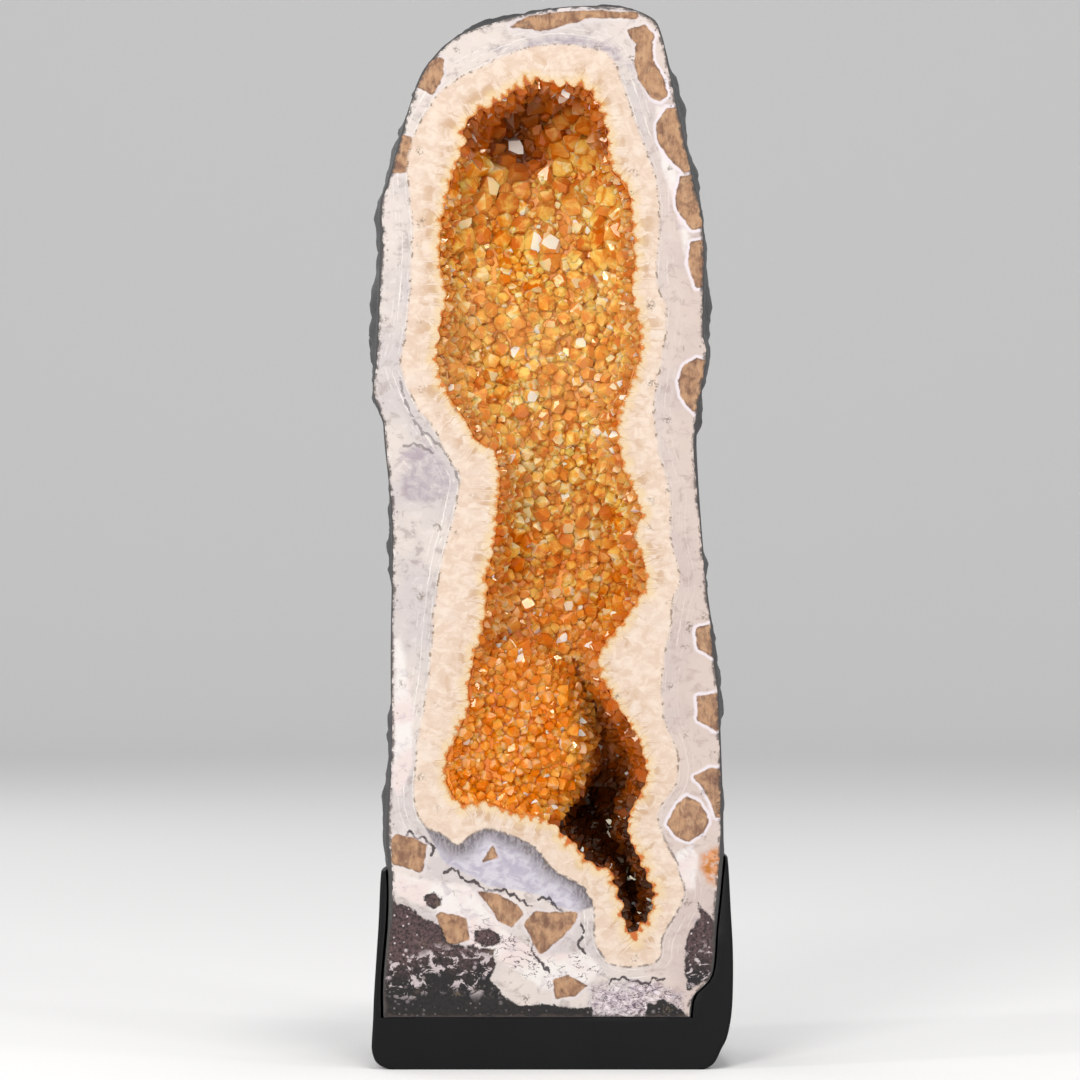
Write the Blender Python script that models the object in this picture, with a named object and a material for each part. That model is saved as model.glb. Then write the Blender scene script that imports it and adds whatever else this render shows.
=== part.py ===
"""A tall citrine geode: half of a natural stone, polished at the front, with a hollow lined by crystals.

Everything is in metres, +Z up, front towards -Y. The origin lies under the middle of the foot.
"""
import itertools
import math
import random

import bmesh
import bpy
from mathutils import Vector, noise
from mathutils.geometry import delaunay_2d_cdt

MM = 0.001

# Overall sizes
DEPTH = 120 * MM                # the foot, front to back
FRONT = -DEPTH / 2              # the polished face lies in this plane
SEAT = 22 * MM                  # height of the stone's sawn underside
TOP = 450 * MM
GAP = 0.3 * MM                  # clearance between touching pieces

# The stone's edge seen from the front, from its bottom left corner over the top to its bottom right corner
STONE_EDGE_MM = (
    (-71.5, 22), (-71.5, 38), (-69.5, 64), (-69.5, 84), (-70.5, 100), (-68.5, 136), (-68.5, 178),
    (-68, 230), (-71, 264), (-72, 275), (-76, 286), (-75, 299), (-74, 317), (-73, 347), (-73, 366),
    (-69.5, 377), (-63, 400), (-58.5, 414), (-54, 424), (-44, 435), (-31.5, 441.5), (-12, 447), (6, 450),
    (28, 450), (41, 446), (46, 439), (51, 417), (59.5, 378), (63.5, 361), (64.5, 345), (64, 313),
    (65.5, 302), (61.5, 274), (61.5, 254), (65, 208), (69.5, 174), (71.5, 135), (72.5, 97), (71.5, 80),
    (69.5, 60), (67.5, 40), (60, 31), (58.5, 22),
)
EDGE_STEP = 12.5 * MM           # spacing of the points along that edge
UNDERSIDE_STEPS = 8             # points across the sawn underside
STONE_SPINE_MM = ((-2, 22), (-2, 140), (-6, 250), (2, 405))
STONE_DEPTH_LOW = 111 * MM      # front to back at the seat
STONE_DEPTH_HIGH = 76 * MM      # front to back at the top
FACE_CHAMFER = 1.3 * MM         # how far the polished face stays inside the edge
FLARE = 1.6 * MM                # how far the rough sides swell behind the face
FLARE_FULL_AT = 0.16            # share of the depth over which they do
BACK_STEPS = (0.012, 0.09, 0.2, 0.33, 0.47, 0.61, 0.74, 0.85, 0.94, 0.99)
BACK_SQUARENESS = 2.4           # 2 is an ellipse, more is boxier
LUMP = 5.5 * MM                 # height of the large lumps on sides and back
KNOB = 2.4 * MM                 # height of the small ones
LUMP_SPACING = 44 * MM
KNOB_SPACING = 17 * MM
CALM_BELOW = 62 * MM            # inside the foot's collar the outside is smooth
LUMPY_ABOVE = 135 * MM

# The edge of the hollow in the polished face, anticlockwise seen from the front, from its upper left
HOLLOW_EDGE_MM = (
    (-35.5, 402), (-38, 392), (-42.5, 379), (-47.5, 356), (-47.5, 339), (-45.5, 326), (-49.5, 304),
    (-46, 289), (-37, 275), (-32, 266), (-24.5, 261), (-22.5, 248), (-26, 217), (-28.5, 208), (-28, 198),
    (-35.5, 164), (-36, 153), (-45.5, 131), (-44.5, 120), (-38.5, 112), (-28, 113), (-16, 108), (-2.5, 105),
    (5, 97.5), (19, 86), (25, 83), (27, 74), (30, 62), (34, 56), (39, 62), (43, 72), (40, 84), (33.5, 97),
    (32.5, 107), (38.5, 119), (40, 128), (36, 141), (27, 155), (21, 166), (20, 176), (28, 187), (39, 203),
    (39, 214), (35, 227), (38, 236), (30, 256), (28, 276), (38, 305), (34, 330), (35, 343), (32.5, 372),
    (25, 382), (22.5, 401), (14, 417), (3, 417), (-8, 419), (-20, 413),
)
HOLLOW_SPINE_MM = ((-8, 400), (-6, 310), (5, 250), (4, 180), (2, 150), (20, 120), (31, 90), (35, 66))
HOLLOW_DEPTH = 33 * MM
# Places where the hollow is deeper or shallower: middle, reach each way, change of depth
DENTS_MM = (
    ((-8, 400), (40, 24), 7),
    ((-6, 310), (36, 55), -6),
    ((26, 125), (22, 46), 16),
)
MOUND_MIDDLE_MM = (-22, 137)    # the bulge of crystals in the lower left
MOUND_REACH_MM = (37, 40)
MOUND_DEPTH = 11 * MM           # how far its top lies behind the face
MOUND_EDGE = 0.3                # share of its reach over which it falls away
WALL_STEEPNESS = 2.6            # how quickly the wall drops behind the edge
WALL_DRAFT = 0.6                # how little it leans inwards there
FULL_DEPTH_WIDTH = 24 * MM      # where the hollow's half width is less, it is shallower
NARROW_DEPTH = 0.45             # share of the depth that is left in the narrowest place
LID = 5 * MM                    # how far the cutter stands in front of the face

CRUST = 2.4 * MM                # thickness of the crust under the crystals
CRYSTAL_WIDTH = 8.2 * MM
CRYSTAL_HEIGHT = 4.6 * MM
CRYSTAL_LEAN = 1.3 * MM
CLOSEST = 0.8                   # least distance between crystals, as a share of their width
LEAST_CRYSTAL = 0.25            # height that is left where the wall bends sharply, as a share
MITRE = 1.6                     # most that a corner of the crust may stretch
RIM_STEP = 6.5 * MM
RIM_RAGGEDNESS = 1.1            # how much further the rim crystals reach, as a share of the crust
RIM_GROOVE = 0.22               # how far the grooves between them lie back, as a share of both
SCATTER_TRIES = 16000
SEED = 11

# The foot at rising heights: height, left edge, right edge, back
FOOT_LEVELS_MM = (
    (0, -69.5, 64.5, 54), (1.5, -73, 67.5, 57), (3.6, -75.2, 69.5, 59), (7.6, -76.5, 71.6, 60),
    (12, -76.5, 74, 60), (20, -76, 75.8, 60), (30, -75.6, 76.5, 58.5), (45, -74.6, 76.5, 56),
    (60, -73.6, 75.6, 53), (74, -73, 74.8, 50.9), (80, -72.5, 74.2, 49.8),
)
FOOT_TOP_LEFT = 84 * MM         # height of the collar's top edge at the left
FOOT_TOP_RIGHT = 90 * MM        # and at the right
FOOT_SQUARENESS = 2.5
FOOT_CURVE_STEPS = 26
FOOT_FRONT_STEPS = 8
FOOT_FRONT_ROUNDING = 1 * MM    # the front edge of the underside


def on_plane(points_mm):
    """Points given in millimetres across and up, in metres."""
    return [Vector(point) * MM for point in points_mm]


def smooth_path(points, closed, parts=5):
    """A dense path on a smooth curve through all the points."""
    count = len(points)
    path = []
    for i in range(count if closed else count - 1):
        if closed:
            a, b, c, d = (points[(i + k) % count] for k in (-1, 0, 1, 2))
        else:
            a, b, c, d = (points[min(max(i + k, 0), count - 1)] for k in (-1, 0, 1, 2))
        for part in range(parts):
            t = part / parts
            slope = (c - a) * t
            bend = (2 * a - 5 * b + 4 * c - d) * t * t
            twist = (3 * b - a - 3 * c + d) * t ** 3
            path.append((2 * b + slope + bend + twist) / 2)
    return path + [points[0].copy() if closed else points[-1].copy()]


def even_points(path, step):
    """Points about a step apart along a path, without its last point."""
    lengths = [(b - a).length for a, b in zip(path, path[1:])]
    count = round(sum(lengths) / step)
    pitch = sum(lengths) / count
    points = []
    done = 0
    for start, end, length in zip(path, path[1:], lengths):
        while len(points) < count and len(points) * pitch <= done + length:
            points.append(start.lerp(end, (len(points) * pitch - done) / length))
        done += length
    return points


def nearest(point, path):
    """The nearest place to a point on a path of straight pieces."""
    best = None
    for start, end in zip(path, path[1:]):
        piece = end - start
        share = (point - start).dot(piece) / piece.length_squared
        place = start + piece * min(max(share, 0), 1)
        if best is None or (place - point).length_squared < (best - point).length_squared:
            best = place
    return best


def inside(point, loop):
    """Whether a point lies inside a closed loop."""
    crossings = 0
    for start, end in zip(loop, loop[1:]):
        if (start.y > point.y) != (end.y > point.y):
            across = start.x + (point.y - start.y) * (end.x - start.x) / (end.y - start.y)
            crossings += across > point.x
    return crossings % 2 == 1


def smooth_step(low, high, value):
    t = min(max((value - low) / (high - low), 0), 1)
    return t * t * (3 - 2 * t)


def in_space(point, back):
    """A point of the front plane, moved back from the face."""
    return Vector((point.x, FRONT + back, point.y))


def join_rings(bm, rings):
    """Skin a list of rings that have equal numbers of points."""
    for near, far in zip(rings, rings[1:]):
        for i in range(len(near)):
            j = (i + 1) % len(near)
            bm.faces.new((near[i], near[j], far[j], far[i]))


def cap(bm, ring, across, along):
    """Close a ring with triangles, laid out in the plane of two of its axes."""
    flat = [Vector((vert.co[across], vert.co[along])) for vert in ring]
    _, _, faces, sources, _, _ = delaunay_2d_cdt(flat, [], [list(range(len(ring)))], 1, 1e-8)
    for face in faces:
        bm.faces.new([ring[sources[i][0]] for i in face])


def close_off(bm):
    """Turn the faces outwards and leave triangles only."""
    bmesh.ops.triangulate(bm, faces=bm.faces[:])
    bmesh.ops.recalc_face_normals(bm, faces=bm.faces[:])


def finish(bm, name, collection, material):
    """Make an object of a mesh that was built in code."""
    mesh = bpy.data.meshes.new(name)
    bm.to_mesh(mesh)
    bm.free()
    thing = bpy.data.objects.new(name, mesh)
    collection.objects.link(thing)
    if material:
        mesh.materials.append(material)
    else:
        thing.hide_render = True
        thing.display_type = "WIRE"
    return thing


def paint(name, colour, roughness, transmission=0):
    material = bpy.data.materials.new(name)
    material.use_nodes = True
    shader = material.node_tree.nodes["Principled BSDF"]
    shader.inputs["Base Color"].default_value = (*colour, 1)
    shader.inputs["Roughness"].default_value = roughness
    shader.inputs["Metallic"].default_value = 0
    shader.inputs["Transmission Weight"].default_value = transmission
    return material


def cut(thing, cutter):
    modifier = thing.modifiers.new("cut by " + cutter.name, "BOOLEAN")
    modifier.operation = "DIFFERENCE"
    modifier.solver = "EXACT"
    modifier.object = cutter


def stone_depth(height):
    """How far the stone reaches behind its face at a height."""
    share = (height - SEAT) / (TOP - SEAT)
    return STONE_DEPTH_LOW + (STONE_DEPTH_HIGH - STONE_DEPTH_LOW) * share


def lumps(place):
    """Height of the natural lumps and knobs at a place on the rough outside."""
    large = noise.noise(place / LUMP_SPACING)
    small = noise.noise(place / KNOB_SPACING + Vector((7, 3, 5)))
    roughness = 0.12 + 0.88 * smooth_step(CALM_BELOW, LUMPY_ABOVE, place.z)
    return (LUMP * large + KNOB * small) * roughness


def stone_point(edge, spine, back_share):
    """A point of the rough outside, on the way from the edge of the face to the back."""
    middle = nearest(edge, spine)
    width_share = (1 - back_share ** BACK_SQUARENESS) ** 0.5
    outwards = (edge - middle).normalized()
    swell = smooth_step(BACK_STEPS[0], FLARE_FULL_AT, back_share)
    flat = middle + (edge - middle) * width_share + outwards * FLARE * swell * width_share
    place = in_space(flat, back_share * stone_depth(edge.y))
    push = Vector((outwards.x * width_share, back_share, outwards.y * width_share))
    place += push.normalized() * lumps(place) * swell
    if edge.y < SEAT + 0.1 * MM:
        place.z = SEAT
    return place


def stone_outside():
    """The whole stone before its hollow is cut: rings from the polished face to the back."""
    edge_path = smooth_path(on_plane(STONE_EDGE_MM), closed=False)
    edge = even_points(edge_path, EDGE_STEP)
    edge[0].y = SEAT
    corner = edge_path[-1]
    edge += [corner.lerp(edge[0], i / UNDERSIDE_STEPS) for i in range(UNDERSIDE_STEPS)]
    spine = on_plane(STONE_SPINE_MM)
    bm = bmesh.new()
    face_ring = []
    for i, point in enumerate(edge):
        inwards = (nearest(point, spine) - point).normalized() * FACE_CHAMFER
        place = in_space(point + inwards, 0)
        place.z = max(place.z, SEAT + FACE_CHAMFER * (1 + 0.5 * math.sin(2.1 * i)))
        face_ring.append(bm.verts.new(place))
    rings = [face_ring]
    for share in BACK_STEPS:
        rings.append([bm.verts.new(stone_point(point, spine, share)) for point in edge])
    join_rings(bm, rings)
    cap(bm, rings[0], 0, 2)
    cap(bm, rings[-1], 0, 2)
    close_off(bm)
    return bm


def grown(bm, distance):
    """The same mesh with every face moved outwards by a distance."""
    bm = bm.copy()
    bm.normal_update()
    moves = [vert.normal * vert.calc_shell_factor() * distance for vert in bm.verts]
    for vert, move in zip(bm.verts, moves):
        vert.co += move
    return bm


def hollow_depth(place):
    """How deep the hollow is behind a place of the opening."""
    depth = HOLLOW_DEPTH
    for middle, reach, change in DENTS_MM:
        across = (place.x / MM - middle[0]) / reach[0]
        up = (place.y / MM - middle[1]) / reach[1]
        depth += change * MM * math.exp(-across * across - up * up)
    across = (place.x / MM - MOUND_MIDDLE_MM[0]) / MOUND_REACH_MM[0]
    up = (place.y / MM - MOUND_MIDDLE_MM[1]) / MOUND_REACH_MM[1]
    out = (across * across + up * up) ** 0.5
    mound = MOUND_DEPTH * (1 + 0.5 * out * out)
    return mound + (depth - mound) * smooth_step(1 - MOUND_EDGE / 2, 1 + MOUND_EDGE / 2, out)


def wall_point(flat, edge_path, spine):
    """Where a point of the flat opening lies on the wall of the hollow.

    The wall drops steeply behind the edge and levels out towards the middle.
    """
    rim = nearest(flat, edge_path)
    to_rim = (flat - rim).length
    to_middle = (flat - nearest(flat, spine)).length
    share = to_rim / (to_rim + to_middle + 0.01 * MM)
    place = rim + (flat - rim) * share ** WALL_DRAFT
    width = smooth_step(0, FULL_DEPTH_WIDTH, to_rim + to_middle)
    depth = hollow_depth(place) * (NARROW_DEPTH + (1 - NARROW_DEPTH) * width)
    return in_space(place, depth * (1 - (1 - share) ** WALL_STEEPNESS))


def scattered(edge_path, spine, rng):
    """Points over the opening whose places on the wall lie a crystal's width apart."""
    low_x, high_x = min(p.x for p in edge_path), max(p.x for p in edge_path)
    low_y, high_y = min(p.y for p in edge_path), max(p.y for p in edge_path)
    rim = [in_space(point, 0) for point in even_points(edge_path, RIM_STEP)]
    cells = {}

    def cell_of(place):
        return tuple(math.floor(value / CRYSTAL_WIDTH) for value in place)

    def crowded(place):
        x, y, z = cell_of(place)
        for i, j, k in itertools.product((-1, 0, 1), repeat=3):
            for other in cells.get((x + i, y + j, z + k), ()):
                if (other - place).length < CRYSTAL_WIDTH * CLOSEST:
                    return True
        return False

    for place in rim:
        cells.setdefault(cell_of(place), []).append(place)
    points = []
    for _ in range(SCATTER_TRIES):
        flat = Vector((rng.uniform(low_x, high_x), rng.uniform(low_y, high_y)))
        if not inside(flat, edge_path):
            continue
        place = wall_point(flat, edge_path, spine)
        if not crowded(place):
            cells.setdefault(cell_of(place), []).append(place)
            points.append(flat)
    return points


def hollow_wall(rng):
    """The wall of the hollow, in triangles whose corners are where the crystals stand."""
    edge_path = smooth_path(on_plane(HOLLOW_EDGE_MM), closed=True)
    spine = on_plane(HOLLOW_SPINE_MM)
    rim = even_points(edge_path, RIM_STEP)
    flat = rim + scattered(edge_path, spine, rng)
    corners, _, faces, _, _, _ = delaunay_2d_cdt(flat, [], [list(range(len(rim)))], 1, 1e-7)
    bm = bmesh.new()
    verts = [bm.verts.new(wall_point(Vector(corner), edge_path, spine)) for corner in corners]
    for face in faces:
        bm.faces.new([verts[i] for i in face])
    bmesh.ops.beautify_fill(bm, faces=bm.faces[:], edges=bm.edges[:], method="ANGLE")
    bmesh.ops.recalc_face_normals(bm, faces=bm.faces[:])
    if sum(face.normal.y * face.calc_area() for face in bm.faces) > 0:
        bmesh.ops.reverse_faces(bm, faces=bm.faces[:])
    for vert in bm.verts:
        if vert.is_boundary:
            vert.co.y = FRONT
    bm.normal_update()
    return bm


def hollow_cutter(wall):
    """The wall closed by a lid in front of the face."""
    bm = wall.copy()
    rim = [edge for edge in bm.edges if edge.is_boundary]
    grown_rim = bmesh.ops.extrude_edge_only(bm, edges=rim)["geom"]
    for vert in (item for item in grown_rim if isinstance(item, bmesh.types.BMVert)):
        vert.co.y -= LID
    bmesh.ops.holes_fill(bm, edges=[edge for edge in bm.edges if edge.is_boundary])
    close_off(bm)
    return bm


def lift(vert, distance):
    """A place off the wall; the rim stays in the plane of the face."""
    direction = vert.normal.copy()
    factor = vert.calc_shell_factor()
    if vert.is_boundary:
        direction.y = 0
        direction.normalize()
        factor = 1
    return vert.co + direction * min(factor, MITRE) * distance


def crystal_room(vert):
    """How tall a crystal may stand, as a share: less where it is crowded or the wall bends sharply."""
    width = sum(edge.calc_length() for edge in vert.link_edges) / len(vert.link_edges)
    bend = min(edge.other_vert(vert).normal.dot(vert.normal) for edge in vert.link_edges)
    return min(width / CRYSTAL_WIDTH, 1.15) * max(bend, LEAST_CRYSTAL)


def crystal_crust(wall, rng):
    """The crust: each corner of the wall carries one crystal of flat faces that meet in a point."""
    bm = bmesh.new()
    backs = {}
    tips = {}
    valleys = {}
    for vert in wall.verts:
        backs[vert] = bm.verts.new(lift(vert, GAP))
        base = lift(vert, CRUST)
        if not vert.is_boundary:
            room = crystal_room(vert)
            height = CRYSTAL_HEIGHT * room * rng.uniform(0.7, 1.15)
            lean = Vector([rng.uniform(-1, 1) for _ in range(3)]) * CRYSTAL_LEAN * room
            base += vert.normal * height + lean
            base.y = max(base.y, FRONT + GAP)
        else:
            base += (base - backs[vert].co) * rng.uniform(0, RIM_RAGGEDNESS)
        tips[vert] = bm.verts.new(base)
    for face in wall.faces:
        middle = sum((lift(vert, CRUST) for vert in face.verts), Vector()) / 3
        valleys[face] = bm.verts.new(middle)
        bm.faces.new([backs[vert] for vert in reversed(face.verts)])
    for edge in wall.edges:
        a, b = edge.verts
        if edge.is_boundary:
            groove = bm.verts.new((tips[a].co + tips[b].co) / 2 - lift_step(a, b))
            valley = valleys[edge.link_faces[0]]
            bm.faces.new((tips[a], groove, valley))
            bm.faces.new((groove, tips[b], valley))
            bm.faces.new((backs[a], groove, tips[a]))
            bm.faces.new((backs[a], backs[b], groove))
            bm.faces.new((backs[b], tips[b], groove))
        else:
            one, other = (valleys[face] for face in edge.link_faces)
            bm.faces.new((tips[a], one, other))
            bm.faces.new((tips[b], other, one))
    close_off(bm)
    return bm


def lift_step(a, b):
    """How far a groove between two rim crystals lies back towards the wall."""
    return (lift(a, CRUST) - a.co + lift(b, CRUST) - b.co) * RIM_GROOVE


def foot_ring(bm, level):
    """One level of the foot: flat at the front, round at the back, higher at the right than at the left."""
    height, left, right, back = (value * MM for value in level)
    middle = (left + right) / 2
    half = (right - left) / 2
    share = height / (FOOT_LEVELS_MM[-1][0] * MM)
    points = []
    for i in range(FOOT_CURVE_STEPS + 1):
        turn = math.pi * i / FOOT_CURVE_STEPS
        across = math.copysign(abs(math.cos(turn)) ** (2 / FOOT_SQUARENESS), math.cos(turn))
        behind = math.sin(turn) ** (2 / FOOT_SQUARENESS) if 0 < i < FOOT_CURVE_STEPS else 0
        points.append(Vector((middle + half * across, FRONT + (back - FRONT) * behind, 0)))
    for i in range(1, FOOT_FRONT_STEPS):
        points.append(points[FOOT_CURVE_STEPS].lerp(points[0], i / FOOT_FRONT_STEPS))
    for point in points:
        tilt = (point.x / half + 1) / 2
        point.z = share * (FOOT_TOP_LEFT + (FOOT_TOP_RIGHT - FOOT_TOP_LEFT) * tilt)
    if share == 0:
        for point in points[FOOT_CURVE_STEPS:] + points[:1]:
            point.y += FOOT_FRONT_ROUNDING
    return [bm.verts.new(point) for point in points]


def foot_block():
    bm = bmesh.new()
    rings = [foot_ring(bm, level) for level in FOOT_LEVELS_MM]
    join_rings(bm, rings)
    cap(bm, rings[0], 0, 1)
    cap(bm, rings[-1], 0, 1)
    close_off(bm)
    return bm


def build():
    for old in list(bpy.data.objects):
        bpy.data.objects.remove(old, do_unlink=True)
    pieces = bpy.data.collections.new("citrine_geode")
    cutters = bpy.data.collections.new("cutters")
    for collection in (pieces, cutters):
        bpy.context.scene.collection.children.link(collection)
    banded_quartz = paint("banded quartz", (0.86, 0.76, 0.64), 0.22)
    citrine = paint("citrine", (0.62, 0.27, 0.04), 0.15, transmission=0.5)
    dark_cast = paint("dark cast foot", (0.014, 0.014, 0.015), 0.5)

    wall = hollow_wall(random.Random(SEED))
    outside = stone_outside()
    seat_cutter = finish(grown(outside, GAP), "seat_cutter", cutters, None)
    hollow = finish(hollow_cutter(wall), "hollow_cutter", cutters, None)
    finish(crystal_crust(wall, random.Random(SEED + 1)), "crystal_crust", pieces, citrine)
    stone = finish(outside, "geode_stone", pieces, banded_quartz)
    foot = finish(foot_block(), "cast_foot", pieces, dark_cast)
    cut(stone, hollow)
    cut(foot, seat_cutter)
    wall.free()


build()
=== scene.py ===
# %% [markdown]
# # A citrine geode on its cast foot
#
# The real thing is half of a long gas bubble in basalt. Agate and then quartz grew inwards from its
# wall, and the last crystals stand free in the hollow. The half stone is sawn, its front is ground
# flat and polished, its rough outside is painted, and it is set in a cast foot.
#
# This lesson dresses the measured solids of the part. It makes four pieces: the stone with its
# polished face, the milky crust that lines the hollow, the citrine crystals that stand on the crust,
# and the foot. Everything is in metres, +Z up, with the polished face towards -Y.

import math

import bmesh
import bpy
import numpy as np
from mathutils import Matrix, Vector, noise
from mathutils.geometry import delaunay_2d_cdt
from mathutils.kdtree import KDTree


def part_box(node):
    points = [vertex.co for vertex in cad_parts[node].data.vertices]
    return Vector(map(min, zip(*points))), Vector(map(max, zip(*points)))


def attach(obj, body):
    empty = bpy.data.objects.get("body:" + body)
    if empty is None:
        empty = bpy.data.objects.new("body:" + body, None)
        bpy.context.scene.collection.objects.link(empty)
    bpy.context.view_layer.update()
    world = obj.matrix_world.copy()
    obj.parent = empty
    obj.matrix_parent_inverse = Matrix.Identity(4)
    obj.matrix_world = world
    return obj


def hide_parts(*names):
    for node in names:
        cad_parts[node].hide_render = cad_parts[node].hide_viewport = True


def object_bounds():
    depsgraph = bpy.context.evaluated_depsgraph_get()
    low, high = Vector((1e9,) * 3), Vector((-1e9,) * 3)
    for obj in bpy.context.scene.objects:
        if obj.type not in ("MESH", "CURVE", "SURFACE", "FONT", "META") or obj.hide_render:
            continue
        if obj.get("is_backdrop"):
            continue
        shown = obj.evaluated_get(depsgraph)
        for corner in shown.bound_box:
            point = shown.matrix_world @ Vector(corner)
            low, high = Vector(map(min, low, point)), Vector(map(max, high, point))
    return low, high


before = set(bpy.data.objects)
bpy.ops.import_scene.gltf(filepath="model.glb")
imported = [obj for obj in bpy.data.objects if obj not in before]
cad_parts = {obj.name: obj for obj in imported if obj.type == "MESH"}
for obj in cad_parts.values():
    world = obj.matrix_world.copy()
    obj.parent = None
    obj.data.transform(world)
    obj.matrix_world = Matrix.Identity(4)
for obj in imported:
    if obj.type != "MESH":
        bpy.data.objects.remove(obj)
cad_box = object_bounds()
MM = 0.001
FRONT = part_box("geode_stone")[0].y      # the polished face lies in this plane
print("nodes", sorted(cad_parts), "face at", round(FRONT / MM, 2), "mm")

# %% [markdown]
# ## Camera
#
# The photograph looks straight at the polished face, level, from some metres away. A long lens at the
# same distance gives the same flat view. The frame of the photograph is 457 mm high at the face, so
# the distance follows from the lens.

# %% Camera
VIEW_HEIGHT = 457.2 * MM                # what the square frame shows at the face
VIEW_CENTRE = (-5.25 * MM, 224.2 * MM)  # across and up
LENS, SENSOR = 150, 36                  # millimetres on the camera
distance = VIEW_HEIGHT * LENS / SENSOR
camera_data = bpy.data.cameras.new("camera")
camera_data.lens = LENS
camera_data.sensor_width = SENSOR
camera = bpy.data.objects.new("camera", camera_data)
camera.location = (VIEW_CENTRE[0], FRONT - distance, VIEW_CENTRE[1])
camera.rotation_euler = (math.radians(90), 0, 0)
bpy.context.scene.collection.objects.link(camera)
bpy.context.scene.camera = camera
print("camera", round(distance, 3), "m in front of the face")

# %% [markdown]
# ## Building materials from arithmetic
#
# A stone's colour is a sum of layers: a ground colour, bands, inclusions, stains. In nodes that soon
# becomes a tangle, so two small classes let the layers be written as formulas. `Value` wraps one
# socket, turns + - * / into Math nodes, and makes soft masks. `Graph` adds every other node through
# one method, and paints coats of colour over each other.


# %% Value
class Value:
    """The output of a node. Arithmetic on it adds Math nodes."""

    def __init__(self, graph, socket):
        self.graph = graph
        self.socket = socket

    def __add__(self, other):
        return self.graph.math("ADD", self, other)

    def __sub__(self, other):
        return self.graph.math("SUBTRACT", self, other)

    def __rsub__(self, other):
        return self.graph.math("SUBTRACT", other, self)

    def __mul__(self, other):
        return self.graph.math("MULTIPLY", self, other)

    def __truediv__(self, other):
        return self.graph.math("DIVIDE", self, other)

    def __rtruediv__(self, other):
        return self.graph.math("DIVIDE", other, self)

    def __abs__(self):
        return self.graph.math("ABSOLUTE", self)

    __radd__ = __add__
    __rmul__ = __mul__

    def step(self, start, end):
        """0 where the value is at its start, 1 at its end, and smooth between them."""
        return self.graph.node("ShaderNodeMapRange", {"interpolation_type": "SMOOTHSTEP"},
                               {"Value": self, "From Min": start, "From Max": end})

    def output(self, name):
        """Another output of the same node."""
        return Value(self.graph, self.socket.node.outputs[name])


# %% Graph
class Graph:
    """A node tree that is built by calls."""

    def __init__(self, tree):
        self.tree = tree

    @staticmethod
    def socket(sockets, key):
        """A socket by its place in the list, its identifier or its name."""
        if isinstance(key, int):
            return sockets[key]
        fitting = [s for s in sockets if key in (s.identifier, s.name) and s.enabled]
        exact = [s for s in fitting if s.identifier == key]
        return (exact or fitting)[0]

    def fill(self, node, inputs):
        """Give inputs of a node their plain values, or link them to values of the tree."""
        for key, value in inputs.items():
            socket = self.socket(node.inputs, key)
            if isinstance(value, Value):
                self.tree.links.new(value.socket, socket)
            else:
                socket.default_value = value

    def node(self, kind, settings=None, inputs=None, output=0):
        """Add a node: first its settings, then its values and links. Gives one of its outputs."""
        node = self.tree.nodes.new(kind)
        for name, value in (settings or {}).items():
            setattr(node, name, value)
        self.fill(node, inputs or {})
        return Value(self, self.socket(node.outputs, output))

    def math(self, operation, a, b=0.0):
        return self.node("ShaderNodeMath", {"operation": operation}, {0: a, 1: b})

    def vector_math(self, operation, a, b):
        return self.node("ShaderNodeVectorMath", {"operation": operation}, {0: a, 1: b})

    def scaled(self, vector, factors):
        return self.vector_math("MULTIPLY", vector, factors)

    def parts(self, vector):
        """The three numbers of a vector."""
        x = self.node("ShaderNodeSeparateXYZ", None, {"Vector": vector})
        return x, x.output("Y"), x.output("Z")

    def vector(self, x, y, z=0.0):
        return self.node("ShaderNodeCombineXYZ", None, {"X": x, "Y": y, "Z": z})

    def noise(self, place, size, detail=3.0, roughness=0.55, distortion=0.0):
        """Cloudy noise from 0 to 1 whose features are about one size across."""
        return self.node("ShaderNodeTexNoise", None,
                         {"Vector": place, "Scale": 1 / size, "Detail": detail,
                          "Roughness": roughness, "Distortion": distortion})

    def mix(self, mask, a, b):
        """Colour a where the mask is 0, colour b where it is 1. Three plain numbers are a screen tone."""
        a, b = (colour if isinstance(colour, Value) else tone(*colour) for colour in (a, b))
        return self.node("ShaderNodeMix", {"data_type": "RGBA"},
                         {"Factor_Float": mask, "A_Color": a, "B_Color": b}, "Result_Color")

    def paint(self, colour, *coats):
        """Lay coats over a colour. Each is a mask and the colour that shows where the mask is 1."""
        for mask, coat in coats:
            colour = self.mix(mask, colour, coat)
        return colour

    def measure(self, name, output="Fac"):
        """A measure that is stored on the mesh."""
        return self.node("ShaderNodeAttribute", {"attribute_name": name}, None, output)

    def bump(self, strength, depth_mm, height):
        return self.node("ShaderNodeBump", None,
                         {"Strength": strength, "Distance": depth_mm * MM, "Height": height})


# %% Tones and new materials
def tone(red, green, blue):
    """A colour as it looks on a screen, 0 to 255, as the light that a shader works with."""
    shares = (red / 255, green / 255, blue / 255)
    return (*(s / 12.92 if s < 0.04045 else ((s + 0.055) / 1.055) ** 2.4 for s in shares), 1.0)


def finish_graph(name):
    """A new material: its graph, its shader, and the object's coordinates in millimetres."""
    material = bpy.data.materials.new(name)
    material.use_nodes = True
    graph = Graph(material.node_tree)
    shader = material.node_tree.nodes["Principled BSDF"]
    place = graph.node("ShaderNodeTexCoord", output="Object")
    return material, graph, shader, graph.scaled(place, (1000, 1000, 1000))


print("white in light", tone(255, 255, 255))

# %% [markdown]
# ## Studio
#
# The floor is one large pale sheet that sweeps up far behind the stone, in a pale room. A soft panel
# stands in front, as a photographer would set it for a polished stone. Weaker ones at the sides and
# above round the light off, four small ones make single facets sparkle, and two light the back. The
# colours are shown without a film curve, so that a paint mixed below is the colour that is seen.

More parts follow.
